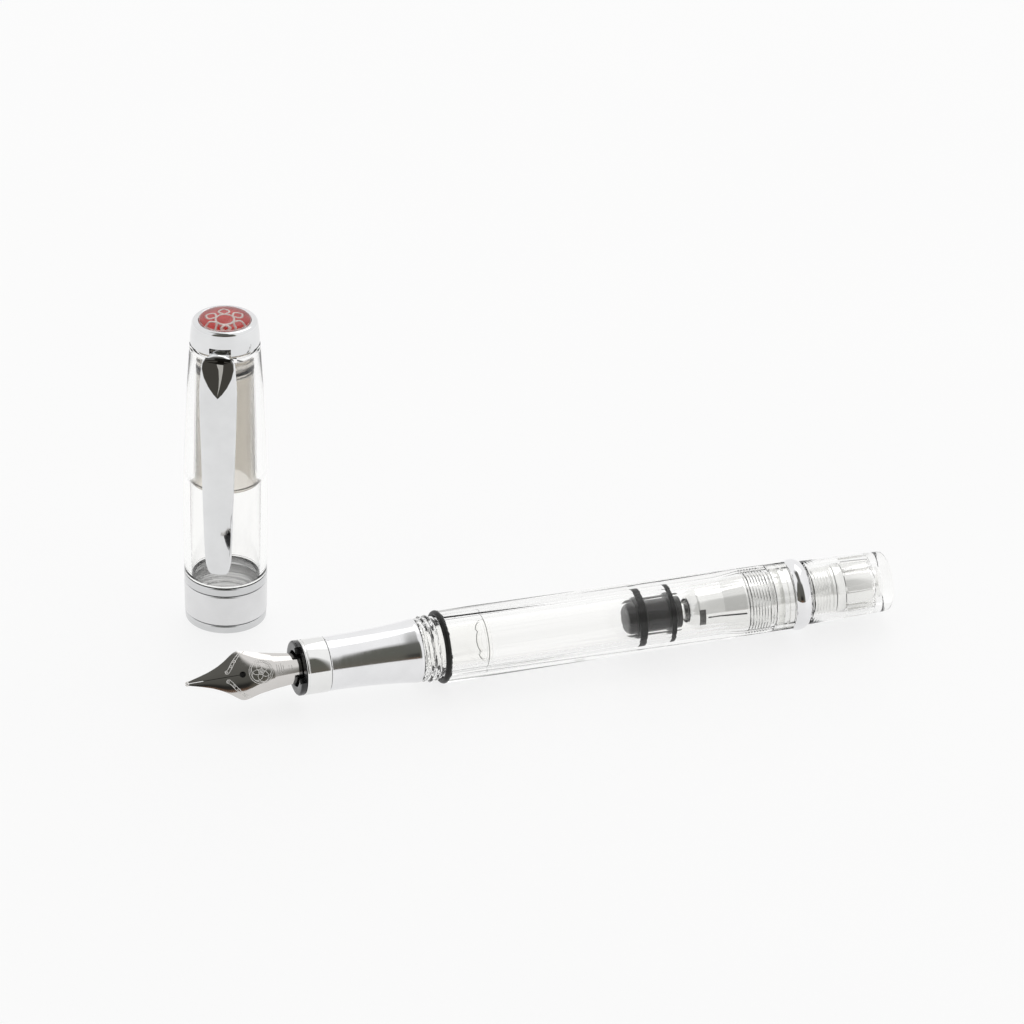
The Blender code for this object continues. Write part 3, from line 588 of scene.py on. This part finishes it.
# ---------------------------------------------------------------- grip section
def make_grip():
    trim = rounded([(4.6, 21.3), (4.86, 21.3), (5.0, 21.44), (5.0, 21.7), (4.93, 21.76), (4.93, 21.85),
                    (5.0, 21.9), (5.0, 25.6), (4.9, 25.8), (4.6, 25.8)], 0.06)
    stands_for(turned("trim_band", trim, on_pen, FINE), "grip_trim_ring", trim_metal)

    flare = smooth_run([(4.9, 26.02), (4.9, 28.2), (4.98, 32), (5.14, 35.5), (5.42, 39.2), (5.7, 41.7),
                        (5.77, 42.3)], 44)
    outline = [(4.6, 25.9), (4.8, 25.9)] + flare + [(5.72, 42.62), (5.6, 42.8), (4.6, 42.8)]
    stands_for(turned("grip_shell", outline, on_pen, FINE), "grip_sleeve", grip_metal)


def make_section():
    outside = [(4.3, 21.5), (4.4, 21.6), (4.4, 42.6), (4.3, 42.8), (3.72, 42.8), (3.72, 54.8), (3.45, 54.85),
               (3.45, 55.45), (3.72, 55.5), (3.72, 55.8), (3.6, 55.9)]
    inside = [(3.1, 55.9), (3.1, 43), (1.5, 43), (1.5, 41), (3.0, 41), (3.0, 37.4), (3.95, 37.4),
              (3.95, 21.5)]
    stands_for(turned("section_tube", outside + inside, on_pen, FINE), "section_core", section_clear)
    seal = rounded([(3.48, 54.9), (3.8, 54.95), (3.8, 55.35), (3.48, 55.4)], 0.1)
    stands_for(turned("section_seal", seal, on_pen, FINE), "section_seal_ring", silicone)
    contact = [(3.84, 55.1), (3.91, 55.1), (3.91, 55.2), (3.84, 55.2)]
    edge = turned("section_seal_edge", contact, on_pen, FINE)
    rides_with(edge, "section_seal_ring", seal_grey)


def make_cap_seal():
    stands_for(ring("cap_seal", 6.06, 0.55, 47.15, on_pen), "cap_seal_ring", rubber)


# ---------------------------------------------------------------- barrel
FACETS = 10
BARREL_FRONT = 47.75
BARREL_END = 112.9
BORE = 3.9
FINE_PITCH = 0.55            # the piston connector's two threads
FINE_STEP = 0.055            # distance between rows along them


def make_barrel():
    """Long triangular facets outside; neck with a screw thread, groove and bores inside."""
    bm = bmesh.new()
    ends = []
    for station, radius, turn in ((BARREL_FRONT, 6.5, 0.5), (BARREL_END, 6.39, 0)):
        ends.append([bm.verts.new(on_pen(radius, station, FACET_TURN + 2 * pi * (i + turn) / FACETS))
                     for i in range(FACETS)])
    front, rear = ends
    for i in range(FACETS):
        after = (i + 1) % FACETS
        bm.faces.new((front[i], rear[i], rear[after]))
        bm.faces.new((front[i], rear[after], front[after]))

    neck = [(5.35, BARREL_FRONT), (5.35, 46.55), (5.5, 46.45)] + straight_run(5.6, 46.42, 43.1, 0.07)
    neck += [(5.5, 43.0), (4.0, 43.0), (BORE, 43.1), (BORE, 99.8)]
    neck += straight_run(4.52, 103.95, 109.1, FINE_STEP) + [(5.3, 109.15), (5.41, 109.25), (5.41, BARREL_END)]
    threads = helix((43.0, 46.5, 5.6, 0.45, 1.2), (103.95, 109.1, 4.52, 0.015, FINE_PITCH))
    rows = turned_rows(bm, neck, on_pen, FINE, threads)
    for outer, inner in ((front, rows[0]), (rear, rows[-1])):
        edges = []
        for loop in (outer, inner):
            for i in range(len(loop)):
                pair = (loop[i], loop[(i + 1) % len(loop)])
                edges.append(bm.edges.get(pair) or bm.edges.new(pair))
        bmesh.ops.triangle_fill(bm, use_beauty=True, use_dissolve=False, edges=edges)
    stands_for(new_object("barrel_shell", bm, 4), "barrel", barrel_clear)


# ---------------------------------------------------------------- piston mechanism
def make_connector():
    """Slit tube with a front cone, two fine threads, and a grooved flange between them."""
    outline = [(2.3, 93.4), (2.6, 93.4), (2.75, 93.5), (3.6, 94.75), (3.7, 94.95), (3.72, 95.3), (3.72, 98.9),
               (4.5, 103.9), (4.5, 104.1)]
    outline += straight_run(4.5, 104.15, 108.9, FINE_STEP)
    outline += [(4.42, 109.0), (4.42, 109.3), (5.3, 109.35), (5.42, 109.45), (5.42, 109.7), (4.65, 109.75),
                (4.65, 110.85), (5.42, 110.9), (5.42, 111.5), (5.2, 111.6), (5.2, 111.85), (5.42, 111.95),
                (5.42, 112.85), (5.3, 112.9), (4.1, 112.9), (4.1, 116.5)]
    outline += straight_run(4.03, 116.55, 120.6, FINE_STEP)
    outline += [(4.27, 120.75), (4.27, 121.15), (3.1, 121.15), (3.1, 95.3), (2.3, 94.6)]
    threads = helix((104.15, 108.9, 4.5, 0.22, FINE_PITCH), (116.55, 120.6, 4.03, 0.27, FINE_PITCH))
    piece = turned("connector_tube", outline, on_pen, 96, threads)
    cut(piece, block("guide_slit", (7.2, 1.6, 0.3), on_mouth, (100.2, 3.7, 0)))
    stands_for(piece, "piston_connector", mechanism_metal)
    stands_for(ring("connector_seal", 5.0, 0.38, 110.3, on_pen, PLAIN), "connector_seal_ring", silicone)


def make_end_ring():
    bulge, middle = 2.1, 114.4
    side = []
    for t in steps_of(32):
        station = 113.08 + 3.02 * t
        side.append((6.55 - bulge + (bulge ** 2 - (station - middle) ** 2) ** 0.5, station))
    outline = [(4.35, 113.0), (6.1, 113.0)] + side + [(5.6, 116.15), (4.35, 116.15)]
    stands_for(turned("end_band", outline, on_pen, FINE), "end_ring", chrome)


def fluted_shape(start, end, root, high, half_angle):
    """Eight ridges (or keys) that stand from a root radius to another radius."""
    def shape(radius, station, angle):
        if abs(radius - root) > 1e-6 or not start <= station <= end:
            return radius
        off = abs((angle + pi / 8) % (pi / 4) - pi / 8)
        return high if off <= half_angle + 1e-9 else radius
    return shape


def fluted_angles(half_angle, between):
    """Angles that put a pair of close points on each side of each ridge."""
    step = radians(0.7)
    angles = []
    for i in range(8):
        middle = i * pi / 4
        angles += [middle + half_angle * k / 3 for k in (-3, -2, -1, 0, 1, 2, 3)]
        first, last = half_angle + step, pi / 4 - half_angle - step
        angles += [middle + first + (last - first) * k / between for k in range(between + 1)]
    return angles


def make_core():
    """Tube that the rod's screw runs in, with a collar and eight splines for the knob."""
    ridge = radians(13)
    outline = [(0, 128.9), (2.25, 128.9), (2.25, 97.5), (2.95, 97.5), (2.95, 121.25), (4.2, 121.3),
               (4.3, 121.4), (4.3, 122.8), (4.2, 122.95), (3.55, 123.0), (3.56, 123.1), (3.56, 128.2),
               (3.4, 128.35), (2.6, 128.4), (2.5, 128.5), (2.5, 129.65), (2.35, 129.8), (0, 129.8)]
    piece = turned("splined_core", outline, on_pen, shape=fluted_shape(123.1, 128.2, 3.56, 4.1, ridge),
                   angles=fluted_angles(ridge, 6))
    stands_for(piece, "drive_core", mechanism_metal)


def make_knob():
    """Clear cap-shaped knob: a threaded mouth, then eight keys round its bore."""
    half_key = radians(5.5)
    angles = [a + pi / 8 for a in fluted_angles(half_key, 10)]
    keys = fluted_shape(123.5, 128.7, 4.4, 3.8, half_key)
    bore = [(0, 130.4), (2.7, 130.4), (2.8, 130.3), (2.8, 128.8), (4.3, 128.78), (4.4, 128.7), (4.4, 123.5),
            (4.34, 123.4)] + straight_run(4.34, 120.7, 116.5, FINE_STEP) + [(4.36, 116.35)]
    side = [(5.6, 116.35), (5.74, 116.4), (5.8, 116.55), (5.72, 120), (5.64, 124), (5.53, 129), (5.49, 131.1)]
    end = [(5.49 - 0.6 * (1 - cos(pi / 2 * t)), 131.1 + 0.9 * sin(pi / 2 * t)) for t in steps_of(10)][1:]
    rim = [(4.7, 132.0), (4.6, 131.95), (4.5, 131.85), (0, 131.85)]
    female = helix((116.5, 120.7, 4.34, 0.015, FINE_PITCH))

    def shape(radius, station, angle):
        return keys(female(radius, station, angle), station, angle - pi / 8)

    piece = turned("knob_shell", bore + side + end + rim, on_pen, shape=shape, angles=angles)
    stands_for(piece, "piston_knob", knob_clear)


def make_rod():
    """Coarse screw between two flats, with a waist that snaps into the plug."""
    flat = 1.6
    thread = helix((94.8, 128.1, 1.75, 0.25, 2.55))

    def shape(radius, station, angle):
        wide = thread(radius, station, angle)
        return min(wide, flat / max(abs(cos(angle - pi / 2)), 0.2)) if station > 94.2 else wide

    outline = [(0, 87.4), (1.4, 87.4), (1.55, 87.55), (1.55, 88.25), (1.2, 88.6), (1.2, 93.9), (1.5, 94.2),
               (1.75, 94.5)]
    outline += straight_run(1.75, 94.8, 128.1, 0.17) + [(1.6, 128.4), (1.4, 128.5), (0, 128.5)]
    stands_for(turned("rod_screw", outline, on_pen, 64, shape), "piston_rod", mechanism_metal)


def make_key_washer():
    """Washer that keeps the rod from turning, with a tab that shows on the guide's side."""
    washer = rounded([(2.3, 95.5), (2.95, 95.5), (2.95, 96.6), (2.3, 96.6)], 0.1)
    stands_for(turned("key_washer", washer, on_pen, PLAIN), "rod_key_washer", black_gloss)
    half = radians(21)
    tab = [[on_pen(radius, station, KEY_TURN + half * (k / 6 - 1)) for k in range(13)]
           for radius, station in ((3.3, 94.95), (3.84, 95.0), (3.84, 96.15), (3.3, 96.2))]
    bm = bmesh.new()
    rows = [[bm.verts.new(point) for point in row] for row in tab]
    for k in range(4):
        low, high = rows[k], rows[(k + 1) % 4]
        for i in range(12):
            bm.faces.new((low[i], low[i + 1], high[i + 1], high[i]))
    for end in (0, -1):
        bm.faces.new([row[end] for row in rows])
    rides_with(new_object("key_tab", bm), "rod_key_washer", key_grey)


def make_piston():
    """Domed plug with a groove for each of its two seal rings."""
    nose = [(2.1 * sin(pi / 2 * t) + 0.2, 82.0 + 0.05 * t) for t in steps_of(3)]
    curve = [(2.3 + 1.0 * sin(pi / 2 * t), 82.05 + 1.0 * (1 - cos(pi / 2 * t))) for t in steps_of(9)]
    outline = [(0, 82.0)] + nose + curve + [(3.3, 83.5), (2.75, 83.5), (2.75, 85.3), (3.3, 85.3), (3.3, 89.6),
               (2.75, 89.6), (2.75, 90.8), (3.3, 90.8), (3.3, 91.85), (3.15, 92.0), (1.8, 92.0),
               (1.8, 87), (0, 87)]
    stands_for(turned("piston_head", outline, on_pen, 96), "piston_plug", plug_plastic)
    for node, start, end in (("front_piston_ring", 83.6, 85.2), ("rear_piston_ring", 89.6, 90.75)):
        lip = [(2.9, start), (3.7, start), (3.88, start + 0.1), (3.91, start + 0.14), (3.91, end - 0.14),
               (3.88, end - 0.1), (3.7, end), (2.9, end)]
        stands_for(turned(node + "_lip", lip, on_pen, 96), node, rubber)


# ---------------------------------------------------------------- cap
# outer radius and height
CAP_SIDE = ((7.45, 9.6), (7.5, 10.5), (7.6, 14), (7.69, 20), (7.65, 27), (7.45, 33), (7.2, 39), (6.93, 45),
            (6.62, 50.5), (6.36, 55.3))


def make_cap_body():
    lower = [(6.1, 0.5), (6.4, 0.5), (6.5, 0.6), (6.5, 9.5), (7.35, 9.5)]
    side = smooth_run(CAP_SIDE, 60)
    top = [(6.3, 55.5), (6.2, 55.6), (1.6, 55.6), (1.6, 54.2), (5.2, 54.2), (5.4, 54.0), (5.4, 29.6),
           (5.5, 29.3), (5.9, 28.95), (6.0, 28.7), (6.0, 5.75)]
    thread = straight_run(6.2, 5.7, 1.0, 0.09)
    outline = lower + side + top + thread + [(6.15, 0.8)]
    inner = helix((1.0, 5.7, 6.2, -0.38, 1.15))
    stands_for(turned("cap_shell", outline, on_cap, FINE, inner), "cap_body", cap_clear)


def make_cap_band():
    """A satin middle between two polished rims, parted by narrow grooves."""
    corner = 0.05
    foot = [(6.65, 0), (7.05, 0), (7.3, 0.25), (7.36, 0.6), (7.36, 1.4), (7.2, 1.55), (6.65, 1.55)]
    middle = [(6.65, 1.6), (7.1, 1.6), (7.42, 1.85), (7.5, 7.45), (7.34, 7.6), (6.65, 7.6)]
    top = [(6.65, 7.65), (7.2, 7.65), (7.46, 7.85), (7.5, 8.0), (7.5, 9.14), (7.34, 9.3), (6.65, 9.3)]
    stands_for(turned("band_middle", rounded(middle, corner), on_cap, FINE), "cap_band", band_metal)
    for name, outline in (("band_foot", foot), ("band_top", top)):
        rim = turned(name, rounded(outline, corner), on_cap, FINE)
        rides_with(rim, "cap_band", band_bright)


def make_inner_cap():
    outline = [(0, 50.2), (4.4, 50.2), (4.5, 50.1), (4.5, 30.2), (4.7, 28.2), (5.65, 28.2), (5.72, 28.3),
               (5.72, 28.65), (5.6, 28.75), (5.3, 28.8), (5.28, 29.8), (5.2, 30.2), (5.2, 50.7), (4.85, 50.7),
               (4.85, 52.3), (5.2, 52.3), (5.2, 53.1), (5.05, 53.3), (1.4, 53.3), (1.4, 50.9), (0, 50.9)]
    stands_for(turned("liner", outline, on_cap, 96), "inner_cap", smoky)
    stands_for(ring("liner_seal", 5.02, 0.28, 51.5, on_cap, PLAIN), "inner_cap_ring", rubber)


def make_crown():
    arc = [(5.25 + 0.68 * cos(pi / 2 * t), 59.55 + 0.75 * sin(pi / 2 * t)) for t in steps_of(8)]
    outline = [(1.6, 55.8), (6.12, 55.8), (6.22, 55.9), (6.25, 56.1), (6.22, 57.2), (6.1, 58.4), (5.97, 59.3)]
    outline += arc + [(4.85, 60.3), (4.72, 60.22), (4.68, 60.0), (4.68, 57.2), (1.6, 57.2)]
    piece = turned("crown_shell", outline, on_cap, FINE)
    cut(piece, block("clip_window", (2.4, 3.9, 1.6), on_clip, (6.1, 0, 56.5)))
    stands_for(piece, "crown", crown_chrome)
    head = rounded([(0, 49.9), (1.2, 49.9), (1.2, 57.35), (2.4, 57.35), (2.4, 58.4), (0, 58.4)], 0.15)
    screw = turned("cap_screw_body", head, on_cap, 48)
    cut(screw, block("screw_slot", (5, 0.6, 1.0), on_clip, (0, 0, 58.4)))
    stands_for(screw, "cap_screw", mechanism_metal)


def make_jewel():
    """Clear dome over a red disc with a plain ring of silver petals."""
    dome = [(4.62 * cos(pi / 2 * t), 60.3 + 1.1 * sin(pi / 2 * t)) for t in steps_of(16)][:-1]
    outline = [(0, 58.85), (4.54, 58.85), (4.62, 58.95), (4.62, 60.25)] + dome + [(0, 61.4)]
    stands_for(turned("jewel_dome", outline, on_cap, FINE), "jewel", jewel_glass)

    plate = rounded([(0, 58.5), (4.6, 58.5), (4.6, 58.9), (0, 58.9)], 0.08)
    stands_for(turned("emblem_plate", plate, on_cap, 96), "emblem_disc", red_enamel)
    face, hub, petals = 58.92, 1.5, 6
    paths = [([on_cap(hub, face, 2 * pi * i / 64) for i in range(64)], True)]
    for i in range(petals):
        angle = 2 * pi * i / petals + 0.3
        for sign in (-1, 1):
            petal = [on_cap(hub + 1.9 * t, face, angle + sign * 0.36 * sin(pi * t)) for t in steps_of(14)]
            paths.append((petal, False))
    rides_with(lines("emblem_petals", paths, 0.4), "emblem_disc", emblem_silver)


# ---------------------------------------------------------------- clip
# centre line from its root in the crown's notch: radius, height, half width, half thickness
CLIP_FORM = ((5.4, 56.3, 1.75, 0.5), (6.7, 56.4, 1.8, 0.5), (7.25, 56.3, 1.9, 0.5), (7.7, 56.0, 2.65, 0.48),
             (8.0, 55.4, 2.98, 0.48), (8.18, 53.8, 3.15, 0.48), (8.35, 50.0, 3.38, 0.48),
             (8.5, 45.0, 3.3, 0.48), (8.65, 38.0, 3.1, 0.48), (8.85, 30.0, 2.85, 0.48),
             (9.0, 22.0, 2.6, 0.48), (8.95, 17.0, 2.4, 0.5), (8.75, 14.8, 2.15, 0.55),
             (8.55, 13.5, 1.7, 0.5), (8.45, 13.05, 1.0, 0.3))


def clip_reading(position):
    return [curve_through([(i, row[k]) for i, row in enumerate(CLIP_FORM)], position) for k in range(4)]


def make_clip():
    """A springy strip, crowned across, lofted along its centre line."""
    rings = []
    last = len(CLIP_FORM) - 1
    for i in range(105):
        position = last * i / 104
        radius, height, half_width, half_depth = clip_reading(position)
        before, after = clip_reading(max(0, position - 0.05)), clip_reading(min(last, position + 0.05))
        along = Vector((after[0] - before[0], after[1] - before[1])).normalized()
        ring_points = []
        for k in range(32):
            angle = 2 * pi * k / 32
            side = half_width * abs(cos(angle)) ** 0.55 * (1 if cos(angle) > 0 else -1)
            depth = half_depth * abs(sin(angle)) ** 0.6 * (1 if sin(angle) > 0 else -1)
            depth += 0.22 * half_width / 3.3 * (1 - (side / half_width) ** 2) - 0.11
            ring_points.append(on_clip(radius - along.y * depth, side, height + along.x * depth))
        rings.append(ring_points)
    stands_for(loft("clip_strip", rings, 50), "clip", clip_chrome)


def clip_front(height):
    """How far out the clip's outer face is at a height below its shoulder."""
    rows = [(-row[1], row[0]) for row in CLIP_FORM[4:]]
    return curve_through(rows, -height) + 0.5


def make_shield():
    """A pointed, faceted plate on the clip's upper end."""
    half = ((1.2, 56.5), (2.3, 56.35), (2.75, 55.7), (2.85, 54.6), (2.5, 53.0), (1.7, 51.2), (0.8, 49.8))
    edge = [(-side, height) for side, height in half] + [(0, 48.9)] + list(reversed(half)) + [(0, 56.55)]
    middle = (0.3, 53.8)
    levels = ((1.0, -0.8), (1.0, 0.16), (0.95, 0.3), (0.86, 0.26))
    bm = bmesh.new()
    rows = []
    for share, lift in levels:
        row = []
        for side, height in edge:
            side_in = middle[0] + (side - middle[0]) * share
            height_in = middle[1] + (height - middle[1]) * share
            row.append(bm.verts.new(on_clip(clip_front(height_in) + lift, side_in, height_in)))
        rows.append(row)
    for low, high in zip(rows, rows[1:]):
        join_rings(bm, low, high)
    ridge_top = bm.verts.new(on_clip(clip_front(55.9) + 0.6, 0.2, 55.9))
    ridge_low = bm.verts.new(on_clip(clip_front(51.2) + 0.6, 0.1, 51.2))
    inner = rows[-1]
    count, waist = len(inner), 53.6
    for i in range(count):
        j = (i + 1) % count
        near_i, near_j = [ridge_low if edge[k][1] < waist else ridge_top for k in (i, j)]
        bm.faces.new(list(dict.fromkeys((inner[i], inner[j], near_j, near_i))))
    bm.faces.new(rows[0])
    rides_with(new_object("clip_shield", bm, 12), "clip", shield_metal)

    # A raised sliver of lighter metal on one facet of the shield: a painted highlight.
    sliver = [(-0.1, 56.0), (1.1, 55.95), (1.05, 54.9), (0.8, 53.2), (0.4, 51.2), (0.02, 49.7), (0.28, 51.6),
              (0.35, 53.3), (0.25, 54.9)]
    bm = bmesh.new()
    rows = [[bm.verts.new(on_clip(clip_front(height) + lift, side, height)) for side, height in sliver]
            for lift in (0.2, 0.82)]
    join_rings(bm, *rows)
    for row in rows:
        bm.faces.new(row)
    rides_with(new_object("shield_painted_highlight_facet", bm, 12), "clip", shield_painted_highlight)


for make in (make_nib, make_engraving, make_feed, make_collar, make_grip, make_section, make_cap_seal,
             make_barrel, make_connector, make_end_ring, make_core, make_knob, make_rod, make_key_washer,
             make_piston, make_cap_body, make_cap_band, make_inner_cap, make_crown, make_jewel, make_clip,
             make_shield):
    make()


# ---------------------------------------------------------------- floor, light and camera
PATCH_AHEAD = (-0.33, -0.944, 0.0)
PATCH_ACROSS = (0.944, -0.33, 0.0)
EYE = (-369.82, -1101.2, 661.37)
LENS = 258.82
CLEAR_SHARE = 0.4            # how much of the dark zones the clear pieces show
FLOOR_GLOW = 0.814           # a light table: most of the floor's brightness is its own


def make_floor():
    bm = bmesh.new()
    bmesh.ops.create_grid(bm, x_segments=8, y_segments=8, size=3.0)
    floor = new_object("floor", bm)
    mat = principled("paper_white", (0.12, 0.12, 0.12), 0.6, Emission_Color=(1.0, 1.0, 1.0, 1.0),
                     Emission_Strength=FLOOR_GLOW)
    vary_color(mat, noise(mat, (9, 9, 9)), (0.117, 0.117, 0.117), (0.123, 0.123, 0.123))
    floor.data.materials.append(mat)


def make_world():
    """A white dome with two dark zones on the camera's side.

    The first gives the polished metal its dark bands, and the second darkens the sloping nib.
    Light that has passed through the clear pieces finds mostly white there instead, so that they
    stay bright.
    """
    world = bpy.data.worlds.new("studio")
    bpy.context.scene.world = world
    world.use_nodes = True
    nodes, links = world.node_tree.nodes, world.node_tree.links
    sky = nodes["Background"]
    towards = nodes.new("ShaderNodeTexCoord").outputs["Generated"]
    parts = nodes.new("ShaderNodeSeparateXYZ")
    links.new(towards, parts.inputs["Vector"])

    def along(direction):
        node = nodes.new("ShaderNodeVectorMath")
        node.operation = "DOT_PRODUCT"
        node.inputs[1].default_value = direction
        links.new(towards, node.inputs[0])
        return node.outputs["Value"]

    def math(operation, first, second):
        node = nodes.new("ShaderNodeMath")
        node.operation = operation
        for socket, value in zip(node.inputs, (first, second)):
            if isinstance(value, float):
                socket.default_value = value
            else:
                links.new(value, socket)
        return node.outputs["Value"]

    def falls(source, start, end, rest=0.0):
        """1 up to start, falling to rest at end."""
        node = nodes.new("ShaderNodeMapRange")
        node.inputs["From Min"].default_value = start
        node.inputs["From Max"].default_value = end
        node.inputs["To Min"].default_value = 1.0
        node.inputs["To Max"].default_value = rest
        links.new(source, node.inputs["Value"])
        return node.outputs["Result"]

    def ramp(stops):
        """Colours by height above the horizon."""
        node = nodes.new("ShaderNodeValToRGB")
        elements = node.color_ramp.elements
        while len(elements) < len(stops):
            elements.new(0.5)
        for element, (position, color) in zip(elements, stops):
            element.position = position
            element.color = (*color, 1)
        links.new(parts.outputs["Z"], node.inputs["Fac"])
        return node.outputs["Color"]

    def over(base, color, share):
        node = nodes.new("ShaderNodeMix")
        node.data_type = "RGBA"
        links.new(share, node.inputs[0])
        links.new(base, node.inputs[6])
        links.new(color, node.inputs[7])
        return node.outputs[2]

    opaque = falls(nodes.new("ShaderNodeLightPath").outputs["Is Transmission Ray"], 0.0, 1.0, CLEAR_SHARE)
    aside = math("DIVIDE", math("ABSOLUTE", along(PATCH_ACROSS), 0.0),
                 math("MAXIMUM", along(PATCH_AHEAD), 0.001))
    patch = math("MULTIPLY", falls(aside, 0.75, 0.95), falls(parts.outputs["Z"], 0.82, 0.93))
    nib_zone = math("MULTIPLY", falls(parts.outputs["X"], 0.02, 0.1), falls(parts.outputs["Y"], 0.2, 0.4))
    nib_zone = math("MULTIPLY", nib_zone, falls(parts.outputs["X"], -0.32, -0.42))
    white = ramp(((0.0, (0.93, 0.93, 0.93)), (0.3, (0.96, 0.96, 0.96)), (1.0, (1.0, 1.0, 1.0))))
    grey = ramp(((0.0, (0.13, 0.12, 0.1)), (0.5, (0.118, 0.119, 0.103))))
    brown = ramp(((0.0, (0.18, 0.11, 0.07)), (0.08, (0.15, 0.095, 0.065)), (0.14, (0.03, 0.028, 0.025)),
                  (0.26, (0.03, 0.03, 0.028)), (0.4, (0.1, 0.1, 0.09)), (0.9, (0.14, 0.14, 0.13))))
    first = over(white, grey, math("MULTIPLY", patch, opaque))
    links.new(over(first, brown, math("MULTIPLY", nib_zone, opaque)), sky.inputs["Color"])
    sky.inputs["Strength"].default_value = 1.0


def make_lamp(name, place, target, width, power):
    data = bpy.data.lights.new(name, "AREA")
    data.shape = "SQUARE"
    data.size = width
    data.energy = power
    lamp = bpy.data.objects.new(name, data)
    bpy.context.scene.collection.objects.link(lamp)
    lamp.location = place
    lamp.rotation_euler = (Vector(target) - Vector(place)).to_track_quat("-Z", "Y").to_euler()


def make_camera():
    """Long lens, looking down at the pen from the front and slightly from its nib end."""
    yaw, pitch, roll = radians(18.574), radians(28.826), radians(1.027)
    ahead = Vector((sin(yaw) * cos(pitch), cos(yaw) * cos(pitch), -sin(pitch)))
    level = Vector((cos(yaw), -sin(yaw), 0))
    upright = level.cross(ahead)
    right = level * cos(roll) + upright * sin(roll)
    up = upright * cos(roll) - level * sin(roll)
    turn = Matrix((right, up, -ahead)).transposed().to_4x4()
    data = bpy.data.cameras.new("camera")
    data.lens = LENS
    data.sensor_width = 36
    data.clip_end = 20
    camera = bpy.data.objects.new("camera", data)
    bpy.context.scene.collection.objects.link(camera)
    camera.matrix_world = Matrix.Translation(Vector(EYE) * MM) @ turn
    bpy.context.scene.camera = camera


make_floor()
make_world()
make_lamp("softbox", (0.44, 0.52, 1.2), (0, 0, 0), 0.8, 1.6)
make_camera()
bpy.context.scene.view_settings.view_transform = "Standard"
